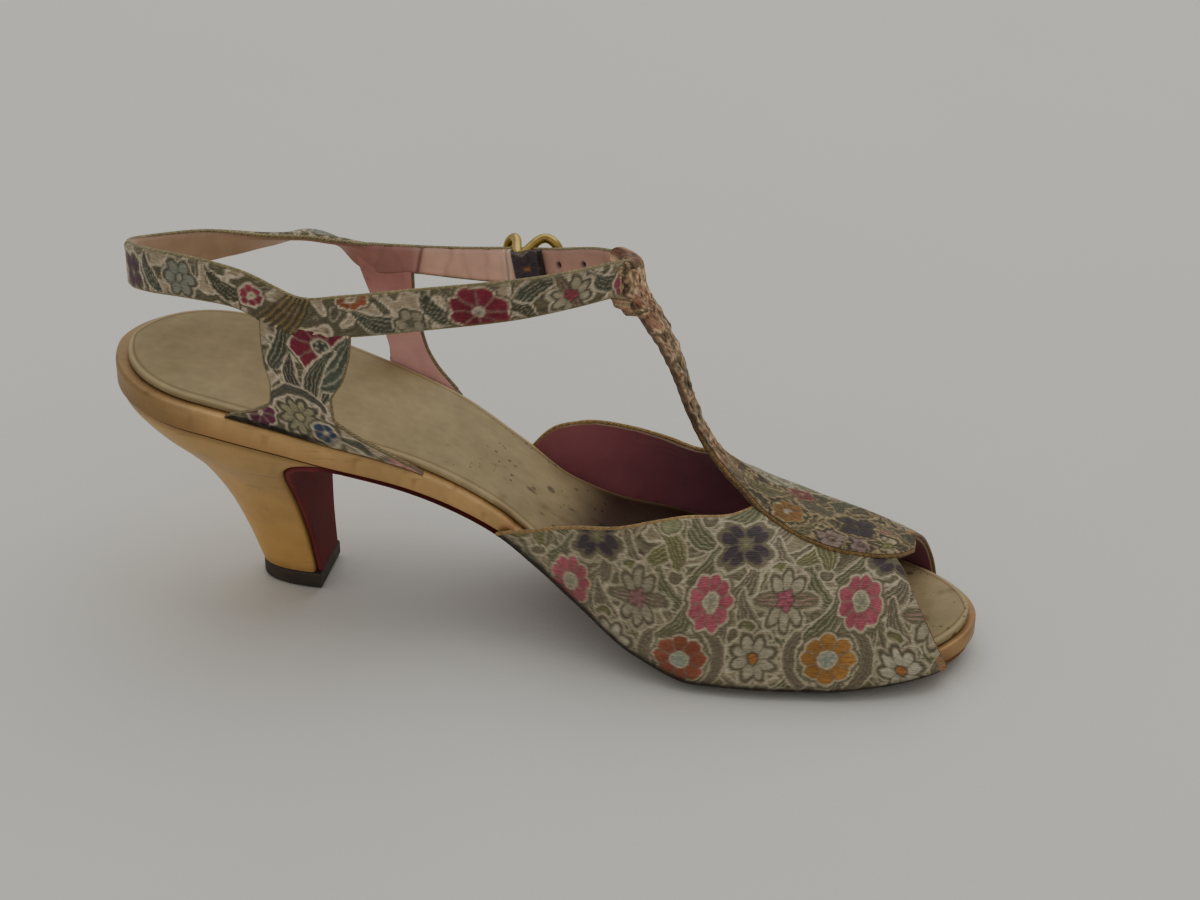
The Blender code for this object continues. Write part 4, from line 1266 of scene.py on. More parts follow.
def vamp_repeat() -> tuple[Motif, ...]:
    """The vamp's repeat: rows of two flowers, with curled leaves and buds between them.

    Returns:
        The figures, from the near sole edge over the ridge to the far one; flowers lie over leaves.
    """
    period, row_step, shift, first = 36.4, 14.7, 6.8, 160.5
    curls = ((7.5, 4.2, 58, TAUPE, 0.35), (10.5, -4.2, 122, TAUPE, -0.35),
             (25.5, 4.2, 122, MOSS, -0.35), (28.5, -4.2, 58, MOSS, 0.35))
    at_leaf_edge = ((2, 0), (3, 0))
    under: list[Motif] = []
    over: list[Motif] = []
    for row in range(-2, 6):
        across = row * row_step
        for step in range(-3, 4):
            along = first + shift * row + period * step
            second = along + 0.5 * period
            for place, rise, lean, colour, bend in curls:
                under += leaves((along + place, across + rise, 7.6, lean, colour, 0.85, bend))
            under.append(Motif(Kind.BUD, along + 9.2, across - 6.4, 1.7, 0, OLIVE, narrow=0.7))
            under.append(Motif(Kind.BUD, along + 27.4, across + 6.6, 1.5, 0, TAUPE, narrow=0.8))
            if (row, step) in at_leaf_edge:
                continue
            if row % 3 == 0:
                over.append(Motif(Kind.ROSETTE, along, across, 5.4, 0, PINK, "#8d8c74", 9, 1.36))
                pale, heart = (CREAM, "#a8606a") if step >= 0 else ("#a0987f", "#9a706c")
                over.append(Motif(Kind.CROWN, second, across, 5.6, 0, pale, heart, 8, 1.3))
            elif row % 3 == 2:
                for heading in (0, 180):
                    ring = Motif(Kind.CRESCENT, along, across, 9.6, heading, TAUPE, narrow=1.6, bend=1.15)
                    under.append(ring)
                warm, pale = (AMBER, "#c0b89f") if step % 2 else (ORANGE, "#aca48a")
                over.append(Motif(Kind.ROSETTE, along, across, 6.8, 0, warm, "#8c9384", 8, 0.98))
                over.append(Motif(Kind.DAISY, second, across, 5.3, 22, pale, "#a8703f", 8, 1.15))
            else:
                over.append(Motif(Kind.VIOLET, along, across, 6.4, 8, NIGHT, OLIVE, 5))
                over += leaves(*((second, across, 7.2, heading, OLIVE, 0.8, 0.3) for heading in (55, 125)))
                over.append(Motif(Kind.BUD, second, across + 4.5, 2.2, 0, "#8b8a68", narrow=0.9))
    return tuple(under + over)


@dataclass
class Vamp:
    """The front of the upper: brocade over a rose kid lining, with corded edges."""

    wall: float = 1.6
    clear: float = 0.4
    lap: float = 4.0
    ridge_start: float = 168.0
    near_fall: float = 0.9
    near_share: float = 0.7
    rows: int = 295
    columns: int = 321
    cord: float = 0.55
    sections: Table = Table("station crest_y crest_z flare far_fall", (
        (100, 0.0, 95.0, 2.5, 1.2),
        (122, -1.0, 76.0, 2.5, 1.2),
        (137, -2.0, 62.0, 1.5, 1.2),
        (150, -3.0, 50.0, 0.5, 1.2),
        (167, -5.0, 38.5, 0.0, 1.0),
        (180, -8.0, 34.3, 0.0, 0.9),
        (195, -9.0, 31.6, 0.0, 0.9),
        (206, -8.5, 28.9, 0.0, 0.9),
        (214, -8.0, 25.5, 0.0, 0.9),
        (225, -7.0, 20.0, 0.0, 0.9),
    ))
    edges: Table = Table("turn throat toe", (
        (0, 103.5, 219.2),
        (9, 113, 218.3),
        (19, 122, 216.8),
        (36, 137, 214.0),
        (58, 152, 209.6),
        (76, 164, 206.0),
        (90, 168, 203.0),
        (104, 165.5, 205.0),
        (118, 161, 207.6),
        (132, 155, 209.4),
        (145, 147, 210.7),
        (150, 138.5, 211.2),
        (154, 129, 211.6),
        (160, 118, 212.2),
        (168, 109.5, 212.8),
        (180, 102.5, 213.5),
    ))
    grain: Table = Table("station rise", (
        (102, -10.0), (123, 5.1), (140, 16.2), (162, 22.6), (179, 23.9), (196, 23.6), (209, 18.0),
        (220, 13.0),
    ))
    chart: Chart = field(default_factory=lambda: Chart(FADED, vamp_repeat(), 6.5, 5))
    folds: tuple[Fold, ...] = (
        Fold(168, -2, 78, 14, 3.2, -0.35),
        Fold(176, 4, 84, 12, 2.8, 0.30),
        Fold(150, -4, 70, 12, 3.4, 0.30),
        Fold(158, -10, 60, 9, 2.6, -0.28),
        Fold(186, -8, 95, 10, 2.8, -0.25),
        Fold(200, -6, 105, 9, 2.6, 0.22),
        Fold(136, -4, 40, 12, 3.0, -0.25),
        Fold(150, 52, 100, 12, 3.0, -0.3),
        Fold(165, 50, 95, 12, 3.0, 0.3),
    )

    def point(self, turn: Array, x: Array) -> Array:
        """Points on the vamp's outer face.

        Args:
            turn: Degrees over the foot from the near sole edge.
            x: Stations.

        Returns:
            The points.
        """
        side = np.where(turn <= 90, -1, 1)
        angle = np.radians(turn)
        ridge = self.sections.at("crest_y", x)
        foot = self.foot(x, side)
        low = SOLE.bottom(x, foot)
        sharp = np.where(side < 0, self.near_fall, self.sections.at("far_fall", x))
        y = ridge + (foot - ridge) * np.abs(np.cos(angle)) ** sharp
        y = y + side * self.sections.at("flare", x) * np.abs(np.sin(2 * angle))
        z = low + (self.sections.at("crest_z", x) - low) * np.sin(angle)
        return placed(x, y, z)

    def foot(self, x: Array, side: Array | int) -> Array:
        """Where the outer face meets the sole.

        Args:
            x: Stations.
            side: -1 for the near side, 1 for the far one.

        Returns:
            Places across the shoe.
        """
        slope = SOLE.edge(x + 0.5, side, 0) - SOLE.edge(x - 0.5, side, 0)
        stretch = np.hypot(1, np.minimum(0.8, np.abs(slope)))
        return SOLE.edge(x, side, -(self.clear + self.wall) * stretch)

    def height(self, x: Array, y: Array) -> Array:
        """Height of the outer face over a place in plan, near the ridge.

        Args:
            x: Stations.
            y: Places across the shoe.

        Returns:
            The heights.
        """
        ridge = self.sections.at("crest_y", x)
        foot = self.foot(x, np.where(y < ridge, -1, 1))
        sharp = np.where(y < ridge, self.near_fall, self.sections.at("far_fall", x))
        away = np.clip(np.abs((y - ridge) / (foot - ridge)), 0, 1) ** (1 / sharp)
        low = SOLE.table.at("top", x) - SOLE.table.at("board", x)
        return low + (self.sections.at("crest_z", x) - low) * np.sqrt(1 - away**2)

    def layout(self, along: int, over: int) -> tuple[Array, Array, Array]:
        """The outer face as a grid.

        Args:
            along: Points from throat to toe.
            over: Points from the near sole edge to the far one.

        Returns:
            Turn, station and points of the grid.
        """
        near = int(self.near_share * over)
        turns = np.concatenate([np.linspace(0, 90, near), np.linspace(90, 180, over - near + 1)[1:]])
        turn = np.broadcast_to(turns, (along, over))
        throat, toe = (self.edges.at(name, turn) for name in ("throat", "toe"))
        x = throat + (toe - throat) * np.linspace(0, 1, along)[:, None]
        return turn, x, self.point(turn, x)

    def cloth(self, turn: Array, x: Array) -> Array:
        """Place of each point on the cloth: its station, and its way over the foot from the grain.

        Args:
            turn: Degrees over the foot from the near sole edge.
            x: Stations.

        Returns:
            The places.
        """
        stations, turns = np.arange(100, 222.0, 2.0), np.arange(0, 181.0, 2.0)
        net = self.point(*np.broadcast_arrays(turns[:, None], stations[None]))
        run = arc_length(net)
        rise = self.grain.at("rise", stations)
        shared = np.maximum(np.arange(len(stations)), np.searchsorted(stations, self.ridge_start))
        way = np.where(turns[:, None] > 90, (run[-1] - rise)[shared] - run[-1] + run, run - rise)
        i, j = turn / 2, (x - stations[0]) / 2
        i0, j0 = np.minimum(i.astype(int), len(turns) - 2), np.minimum(j.astype(int), len(stations) - 2)
        fi, fj = i - i0, j - j0
        low = way[i0, j0] * (1 - fj) + way[i0, j0 + 1] * fj
        high = way[i0 + 1, j0] * (1 - fj) + way[i0 + 1, j0 + 1] * fj
        return placed(x, low * (1 - fi) + high * fi)

    def build(self) -> None:
        """Makes the cloth, its lining and its corded edges."""
        turn, x, points = self.layout(self.rows, self.columns)
        cloth = self.cloth(turn, x)
        normal = sheet_normals(points)
        tint, relief = self.chart.paint(cloth)
        lift = sum(fold.lift(cloth) for fold in self.folds)
        low = np.minimum(turn, 180 - turn)
        pucker = np.sin(2 * np.pi * x / 6.5 + 2 * noise(x / 9, turn / 60, 71)) * ease(low, 11, 1)
        lift = lift + 0.16 * pucker * ease(low, 0, 2.5) + 0.05 * (relief - 0.4)
        lift = lift + 0.12 * noise(x / 9, cloth[..., 1] / 8, 72)
        lift = lift * ease(np.linspace(0, 1, len(x)), -0.01, 0.03)[:, None]
        outer = points + normal * lift[..., None]
        # Painted shade: the cloth darkens towards its lower edges, a contact shadow where it meets the sole.
        rub(tint, 0.55 * ease(low, 5.0, 0.5), "#4a4335")
        rub(tint, 0.9 * ease(low, 2.2, 0.7), "#241d17")
        front = self.edges.at("toe", turn) - x
        rub(tint, 0.9 * ease(front, 1.9, 1.2) * ease(turn, 17, 12), "#a07a55")
        soil = ease(noise(x / 12, cloth[..., 1] / 12, 73), 0.2, 0.9)
        rub(tint, 0.18 * soil, "#75694f")
        mesher = Mesher("vamp_cloth")
        mesher.grid(outer, BROCADE, tint, cloth, relief, facing=normal)
        self.under_lap(mesher, outer, cloth, tint)
        mesher.build("upper")
        self.lining(points[::3, ::3], normal[::3, ::3], turn[::3, ::3])
        self.cords(points, normal)

    def under_lap(self, mesher: Mesher, outer: Array, cloth: Array, tint: Array) -> None:
        """Turns the cloth's lower edges under the board, where the sole holds them.

        Args:
            mesher: The piece to add to.
            outer: The outer face.
            cloth: Place of each point on the cloth.
            tint: Tint of each point.
        """
        for column, side in ((0, -1), (-1, 1)):
            edge = outer[:, column]
            reach = np.array([0.0, 0.1, 0.35, 0.7, 1.0])
            sink = np.array([0.0, -0.16, -0.22, -0.2, -0.15])
            rows = np.repeat(edge[:, None], len(reach), axis=1)
            rows[..., 1] -= side * self.lap * reach
            rows[..., 2] = SOLE.bottom(rows[..., 0], rows[..., 1]) + sink
            rows[:, 0] = edge
            place = np.repeat(cloth[:, column][:, None], len(reach), axis=1)
            shade = np.repeat(0.8 * tint[:, column][:, None], len(reach), axis=1)
            mesher.grid(rows, BROCADE, shade, place, facing=np.array([0, 0, -1.0]))

    def lining(self, points: Array, normal: Array, turn: Array) -> None:
        """The kid lining, with its cut edge.

        Args:
            points: The outer face, thinned out.
            normal: Its normals.
            turn: Degrees over the foot.
        """
        x = points[..., 0]
        wrinkle = 0.18 * noise(x / 7, turn / 9, 81) + 0.12 * noise(x / 3, turn / 20, 82)
        inner = points - normal * (self.wall + wrinkle[..., None] * 0.8)
        tint = dyed("#ad6672", points)
        tint *= (1 + 0.10 * noise(x / 14, turn / 18, 83))[..., None]
        rim = ease(np.linspace(0, 1, len(x)), 0.10, 0.0)[:, None]
        rub(tint, 0.45 * rim * ease(noise(x / 10, turn / 25, 84), -0.6, 0.6), "#a06a66")
        rub(tint, ease(x, 128, 150), "#a46878")
        mesher = Mesher("vamp_lining")
        mesher.grid(inner, LINING, tint, facing=-normal)
        mesher.hem(points, inner, LINING, tone("#7a6048"))
        mesher.build("upper")

    def cords(self, points: Array, normal: Array) -> None:
        """The gold cord along the throat and the rolled edge at the toe.

        Args:
            points: The outer face.
            normal: Its normals.
        """
        mesher = Mesher("vamp_cords")
        for row, radius, code in ((0, self.cord, "#b5935a"), (-1, 0.8 * self.cord, "#8f6a3c")):
            path = points[row] - 0.3 * self.wall * normal[row]
            tint = tone(code) * (1 + 0.15 * noise(path[:, 0] / 5, path[:, 1] / 5, 91))[:, None]
            mesher.tube(path, radius, CORD, tint, sides=10)
        mesher.build("upper")


# The straps

@dataclass
class TStrap:
    """The T strap: a leaf sewn over the vamp, a worn strap up the instep and the loop at its end."""

    vamp: Vamp
    thick: float = 1.9
    rise: float = 1.1
    cord: float = 0.55
    loop_bow: float = 4.2
    worn_to: float = 62.0
    cord_from: int = 96
    cord_depth: float = 0.4
    rows: int = 300
    columns: int = 91
    table: Table = Table("station height middle half free bow", (
        (137.0, 100.4, -3.5, 5.8, 1, 4.0),
        (138.5, 93.4, -3.2, 6.0, 1, 4.0),
        (142.3, 86.0, -2.0, 5.6, 1, 3.4),
        (147.2, 75.0, -1.5, 4.6, 1, 2.2),
        (151.3, 61.5, -1.5, 3.3, 1, 1.2),
        (156.5, 50.6, -1.7, 2.9, 1, 0.4),
        (163.4, 43.4, -1.9, 4.6, 1, 0.0),
        (171.5, 39.2, -2.3, 8.0, 0, 0.0),
        (180.0, 36.0, -2.9, 11.2, 0, 0.0),
        (189.0, 34.0, -3.4, 12.4, 0, 0.0),
        (198.0, 32.0, -3.7, 10.8, 0, 0.0),
        (204.5, 31.0, -3.9, 7.2, 0, 0.0),
        (208.0, 29.5, -4.0, 2.6, 0, 0.0),
    ))
    loop: Table = Table("height back front half", (
        (87.8, 138.2, 140.4, 3.8),
        (91.0, 135.0, 139.2, 4.6),
        (95.2, 132.7, 138.0, 5.2),
        (99.0, 132.4, 137.5, 5.3),
        (101.0, 132.8, 136.8, 5.3),
        (101.9, 133.6, 135.6, 5.2),
    ))
    chart: Chart = Chart(Palette("#62553c", "#2a221a", "#4a4230", "#a4926a"), (
        *leaves(
            (72.4, 2, 6.5, 30, "#5f5a3c", 0.8, 0.2),
            (86.4, 3, 7.0, -20, "#55513e", 0.9, 0.3),
            (92.4, 9, 6.0, 60, "#464a34", 0.9, -0.3),
            (83.4, -9, 5.0, 40, "#5f5a3c", 0.8, 0.3),
            (104.4, 3, 5.5, 20, "#5c5640", 0.9, 0.3),
        ),
        Motif(Kind.ROSETTE, 78.4, -4.0, 4.6, 60, "#86602f", "#8c8690", 7, 0.9, core=0.28),
        Motif(Kind.ROSETTE, 80.9, 8, 3.4, 0, "#7d383a", "#6d4a44", 7, 0.9, core=0.2),
        Motif(Kind.DAISY, 90.4, -9.6, 3.6, 20, "#8c786c", "#7d6a5a", 5),
        Motif(Kind.VIOLET, 96.4, -1.4, 4.3, 15, "#3c3335", "#5d5a3e", 5),
        Motif(Kind.DAISY, 98, -9.0, 3.2, 0, "#88746a", "#7d6a5a", 5),
        Motif(Kind.CROWN, 104.9, -5.6, 3.6, 20, "#a99c78", "#8a8452", 8),
        Motif(Kind.BUD, 103.9, 1.0, 1.6, 0, "#8a6a58", narrow=0.8),
    ), 3.6, 15, 2.3, 0.4)

    def face(self, rows: Array, sides: Array) -> tuple[Array, Array]:
        """The strap's upper face.

        Args:
            rows: Row numbers in the table, down the strap.
            sides: Places across the strap, from -1 to 1.

        Returns:
            The points, and their places along and across the strap.
        """
        names = self.table.columns.split()
        x, own, middle, half, free, bow = (self.table.by_row(name, rows)[:, None] for name in names)
        y = middle + half * sides
        laid = self.vamp.height(np.broadcast_to(x, y.shape), y) + self.rise
        points = placed(x - bow * sides**2, y, laid + (own - laid) * free)
        run = arc_length(points[:, len(sides) // 2])[:, None]
        return points, placed(run, half * sides)

    def build(self) -> None:
        """Makes the strap and leaf, their cords, and the loop."""
        rows = np.linspace(0, len(self.table.rows) - 1, self.rows)
        sides = np.linspace(-1, 1, self.columns)
        points, cloth = self.face(rows, sides)
        normal = sheet_normals(points)
        tint, relief = self.chart.paint(cloth)
        worn = ease(cloth[..., 0], self.worn_to + 6, self.worn_to - 12)
        frayed, ruffle = self.frayed(cloth)
        tint += worn[..., None] * (frayed - tint)
        relief += worn * (ruffle - relief)
        rub(tint, 0.6 * worn * ease(np.abs(sides), 0.8, 0.99), "#2e221a")
        crumple = worn * (0.45 * noise(cloth[..., 0] / 3.0, cloth[..., 1] / 2.2, 112) + 0.5 * (relief - 0.5))
        outer = points + normal * (0.10 * (relief - 0.4) + crumple)[..., None]
        inner = points - normal * self.thick
        ragged = 0.7 * noise(cloth[..., 0] / 2.4, np.sign(cloth[..., 1]), 113) * worn * (cloth[..., 1] / 4.0)
        outer[..., 1] += ragged
        inner[..., 1] += ragged
        mesher = Mesher("t_strap_cloth")
        mesher.grid(outer, BROCADE, tint, cloth, relief, facing=normal)
        mesher.grid(inner[:, ::6], LINING, tone("#6f5744"), facing=-normal[:, ::6])
        mesher.hem(outer, inner, LINING, 0.4 * tint + 0.6 * tone("#5a4636"))
        mesher.build("upper")
        self.cords(outer, inner)
        self.make_loop()

    @staticmethod
    def frayed(cloth: Array) -> tuple[Array, Array]:
        """Worn brocade: crushed, pulled, browned and gold-streaked, with painted light on its crests and
        shade in its hollows.

        Args:
            cloth: Places along and across the strap.

        Returns:
            Tint and relief of the worn cloth.
        """
        along, across = cloth[..., 0], cloth[..., 1]
        crush = noise(along / 3.8, across / 1.3, 101) + 0.6 * noise(along / 1.5, across / 0.9, 102)
        pulled = placed(along + 1.2 * crush, across + 0.8 * noise(along / 3, across / 2, 106))
        tint, _ = WORN.paint(pulled)
        rub(tint, 0.6 * ease(noise(along / 6, across / 3, 103), -0.1, 0.6), "#7a5a40")
        rub(tint, 0.5 * ease(noise(along / 4, across / 3, 104), 0.25, 0.7), "#825047")
        rub(tint, 0.6 * ease(noise(along / 7, across / 3, 107), 0.15, 0.6), "#62604a")
        # Painted light on the crushed crests and painted shade in the hollows, which the crush also raises
        # and sinks.
        rub(tint, 0.75 * ease(crush, 0.2, 0.9), "#c9a985")
        rub(tint, 0.85 * ease(crush, -0.25, -0.9), "#30221a")
        rub(tint, 0.5 * ease(noise(along / 2.4, across / 0.6, 105), 0.45, 0.85), "#b98f55")
        tint *= (1.16 + 0.5 * noise(along / 1.1, across / 0.5, 108))[..., None]
        return tint, 0.5 + 0.45 * np.clip(crush, -1, 1)

    def cords(self, outer: Array, inner: Array) -> None:
        """The gold cord round the leaf and up both edges of the strap.

        Args:
            outer: The upper face.
            inner: The lower face.
        """
        middle = (1 - self.cord_depth) * outer + self.cord_depth * inner
        near, far = (middle[self.cord_from:, k] for k in (0, -1))
        path = np.concatenate([near, middle[-1, 9:-9:9], far[::-1]])
        tint = tone("#9a7842") * (1 + 0.25 * noise(path[:, 0] / 3, path[:, 1] / 3, 111))[:, None]
        rub(tint, ease(path[:, 2], 48, 66), "#5f4a35")
        mesher = Mesher("t_strap_cord")
        taper = np.clip(np.minimum(np.arange(len(path)), np.arange(len(path))[::-1]) / 24, 0.2, 1)
        mesher.tube(path, self.cord * taper, CORD, tint, sides=10)
        mesher.build("upper")

    def make_loop(self) -> None:
        """The folded end of the strap, closed round the ankle strap, with its threads worn loose and painted
        light and shade on its folds.
        """
        height = np.linspace(self.loop.rows[0][0], self.loop.rows[-1][0], 60)
        back, front, half = (self.loop.at(name, height)[:, None] for name in ("back", "front", "half"))
        sides = np.linspace(-1, 1, 33)
        bow = self.loop_bow * sides**2
        across = self.table.rows[0][2] + half * sides
        rails = [placed(face - bow, across, height[:, None]) for face in (back, front)]
        points = np.concatenate([rails[0], rails[1][:, ::-1]], axis=1)
        run = np.broadcast_to(height[:, None], points.shape[:2])
        cloth = placed(run, points[..., 1] + 0.7 * points[..., 0])
        tint, relief = self.frayed(cloth)
        away = points - points.mean(axis=1, keepdims=True)
        folds = 0.35 * np.sin(2 * np.pi * cloth[..., 1] / 2.6 + 1.5 * noise(run / 5, cloth[..., 1] / 6, 114))
        points = points + unit(away) * (0.45 * (relief - 0.6) + folds)[..., None]
        # Painted light and shade: lighter on the folds' crests, darker in their troughs.
        tint *= (1.1 + 0.25 * ease(run, 89, 95) + 1.1 * folds)[..., None]
        rub(tint, 0.6 * ease(run, 99.4, 100.8), "#54463a")
        mesher = Mesher("strap_loop")
        shut = 0.5 * (points + points[:, ::-1])
        points = np.concatenate([shut[:1], points, shut[-1:]])
        tint, cloth, relief = (np.concatenate([v[:1], v, v[-1:]]) for v in (tint, cloth, relief))
        mesher.grid(points, BROCADE, tint, cloth, relief, ring=True)
        mesher.build("upper")


@dataclass
class AnkleStrap:
    """The closed band of ankle strap and sling, its free end and its linings."""

    thick: float = 2.2
    cord: float = 0.42
    tail_thick: float = 1.5
    tail_sink: float = 0.3
    tail_rows: Pair = (17.2, 19.9)
    holes: Rows = ((274.7, 0.6), (283.4, 0.6))
    hole: float = 0.75
    lap: tuple[float, float, float, float] = (87.0, 87.6, 95.0, 98.0)
    creases: Rows = (
        (241, 0.3, 0.5), (246, -0.2, 0.35), (252, 0.1, 0.4), (222, 0.5, 0.4), (227, -0.4, 0.4),
        (275, 0.2, 0.3), (292, -0.2, 0.4),
    )
    seams: tuple[tuple[float, float, float, str], ...] = (
        (257.4, 0.3, 0.6, "#efe2c8"), (258.2, 0.25, 0.6, "#7a5a4c"), (259.0, 0.4, 0.85, "#efe2c8"),
    )
    near_rows: tuple[int, int] = (3, 9)
    far_rows: tuple[int, int] = (12, 19)
    rows: int = 760
    columns: int = 27
    inner_columns: int = 23
    table: Table = Table("station side height width lean", (
        (134.6, -1.5, 96.2, 9.0, 0),
        (130.6, -9.0, 98.0, 9.0, 0),
        (121.5, -17.0, 98.2, 9.4, 0),
        (108.0, -23.0, 97.0, 10.2, 0),
        (87.0, -26.0, 94.0, 10.6, 0),
        (69.0, -26.4, 90.6, 10.6, 0),
        (56.0, -26.2, 89.0, 10.6, 0),
        (41.0, -24.2, 94.0, 10.2, 0),
        (27.0, -20.4, 94.2, 11.0, 0),
        (13.5, -13.5, 91.8, 11.4, 0),
        (4.6, -1.5, 87.4, 11.6, 0),
        (8.6, 9.5, 85.2, 11.0, 8),
        (19.0, 16.4, 85.2, 10.6, 20),
        (33.0, 20.0, 86.4, 10.2, 52),
        (44.0, 21.8, 88.0, 10.2, 72),
        (53.0, 23.2, 86.0, 9.6, 60),
        (61.0, 23.8, 82.2, 9.0, 12),
        (72.0, 23.6, 82.8, 7.6, 2),
        (85.0, 22.5, 83.5, 8.4, 0),
        (99.0, 19.4, 85.6, 9.4, 0),
        (112.0, 14.2, 89.0, 9.2, 0),
        (125.5, 6.4, 94.0, 9.0, 0),
    ))
    chart: Chart = Chart(CRISP, (
        *leaves(
            (12, 1.5, 6.2, 20, GREEN, 0.9, 0.4),
            (30, 1.5, 6.8, 150, GREEN, 0.9, 0.35),
            (34, -2.5, 5.0, 30, "#4a4c38", 0.8, -0.3),
            (54, 1, 6.4, 60, GREEN, 0.9, 0.3),
            (68, -1.2, 7.6, 16, GREEN, 0.9, 0.4),
            (109, 0.6, 6.4, 30, "#4a4c38", 0.9, 0.35),
            (132, 0, 6.0, 70, GREEN, 0.9, 0.3),
            (150, 0, 6.4, 150, GREEN, 0.9, 0.35),
            (172, 0, 6.4, 30, GREEN, 0.9, 0.3),
            (195, 0, 6.4, 150, GREEN, 0.9, 0.3),
            (233, 0, 6.4, 20, GREEN, 0.9, 0.3),
            (257, 0, 6.4, 160, GREEN, 0.9, 0.3),
            (292, 0, 6.4, 30, GREEN, 0.9, 0.3),
        ),
        Motif(Kind.ROSETTE, 5.5, -0.5, 3.8, 0, "#b0586a", "#8e8668", 6),
        Motif(Kind.CROWN, 21, -0.8, 4.8, 60, CREAM, "#9c4a52", 8),
        Motif(Kind.ROSETTE, 43.4, -1.4, 7.8, 25, CRIMSON, "#77756c", 8, 0.8, core=0.2),
        Motif(Kind.DAISY, 60.5, -2.8, 3.6, 0, "#a39a80", "#6d6a52", 5),
        Motif(Kind.ROSETTE, 74, 4.6, 4.0, 0, "#9a5634", "#8e8668", 7, 0.6),
        Motif(Kind.ROSETTE, 101.5, 0.4, 3.0, 0, "#98384a", "#8e8668", 6),
        Motif(Kind.DAISY, 121.9, -0.2, 4.8, 0, "#8f9080", "#9a9684", 6),
        Motif(Kind.VIOLET, 141.5, -1, 4.4, 0, PLUM, "#9a8a84", 5),
        Motif(Kind.ROSETTE, 161, 0, 6.0, 0, CRIMSON, "#77756c", 8, 0.9, core=0.2),
        Motif(Kind.CROWN, 184, 0.5, 4.8, 0, CREAM, "#a8424c", 8),
        Motif(Kind.DAISY, 207, 0, 4.8, 0, "#8f9080", "#9a9684", 6),
        Motif(Kind.VIOLET, 221, 0, 4.6, 0, PLUM, "#9a8a84", 5),
        Motif(Kind.ROSETTE, 245, 0, 5.8, 0, CRIMSON, "#77756c", 8, 0.9, core=0.2),
        Motif(Kind.CROWN, 280, 0, 4.8, 0, CREAM, "#a8424c", 8),
    ), 6.4, 25)

    def frames(self, row: Array) -> tuple[Array, Array, Array, Array]:
        """Centre, along, across and out directions of the band.

        Args:
            row: Row numbers round the table.

        Returns:
            The four sets of vectors.
        """
        def centre(r: Array) -> Array:
            """Centre line of the band."""
            return placed(*(self.table.round(name, r) for name in ("station", "side", "height")))

        along = unit(centre(row + 0.02) - centre(row - 0.02))
        out = unit(np.cross((0, 0, 1), along))
        up = np.cross(along, out)
        lean = np.radians(self.table.round("lean", row))[..., None]
        across = np.cos(lean) * up - np.sin(lean) * out
        return centre(row), along, across, np.cross(across, along)

    def ribbon(self, row: Array, half: Array, out: Array, columns: int) -> tuple[Array, Array]:
        """A face of the band.

        Args:
            row: Row numbers round the table.
            half: Half of its width at each row.
            out: Its distance from the band's middle, for each place across.
            columns: Points across.

        Returns:
            The points, and their places along and across the band.
        """
        centre, _, across, away = self.frames(row)
        sides = np.linspace(-1, 1, columns)
        offset = half[:, None] * sides
        points = centre[:, None] + across[:, None] * offset[..., None] + away[:, None] * out[..., None]
        run = arc_length(centre)[:, None]
        return points, placed(run, offset)

    def crown(self, half: Array, columns: int, face: float) -> Array:
        """Distance of a face from the band's middle, rounded off at both edges.

        Args:
            half: Half of the band's width at each row.
            columns: Points across.
            face: The distance between the edges.

        Returns:
            The distance at each place.
        """
        offset = half[:, None] * np.linspace(-1, 1, columns)
        past = np.clip((np.abs(offset) - half[:, None] + 0.9) / 0.9, 0, 1)
        return face - 0.7 * np.sign(face) * past**2

    def build(self) -> None:
        """Makes the cloth face, the lining, the corded edges and the free end."""
        row = np.linspace(0, len(self.table.rows), self.rows)
        half = self.table.round("width", row) / 2
        crown = self.crown(half, self.columns, self.thick / 2)
        points, cloth = self.ribbon(row, half, crown, self.columns)
        tint, relief = self.chart.paint(cloth)
        edge = ease(half[:, None] - np.abs(cloth[..., 1]), 1.3, 0.3)
        rub(tint, 0.35 * edge, "#6e6748")
        away = self.frames(row)[3][:, None]
        slant = cloth[..., 0] + 0.45 * cloth[..., 1]
        start, full, last, end = self.lap
        lapped = ease(slant, start, full) * ease(slant, end, last)
        pleat = np.sin(2 * np.pi * slant / 1.7 + noise(cloth[..., 0] / 3, cloth[..., 1] / 3, 132))
        rub(tint, 0.8 * lapped, "#7a6a49")
        rub(tint, 0.7 * lapped * ease(pleat, 0.0, 0.8), "#3d3628")
        rub(tint, 0.5 * lapped * ease(pleat, -0.3, -0.9), "#a5884e")
        relief = relief + 3.0 * lapped + 1.5 * lapped * pleat
        mesher = Mesher("ankle_strap_cloth")
        raised = points + away * (0.10 * (relief - 0.4))[..., None]
        mesher.grid(raised, STRAP_BROCADE, tint, cloth, relief, facing=away)
        mesher.build("upper")
        self.lining(row, half)
        self.cords(row, half)
        self.tail()

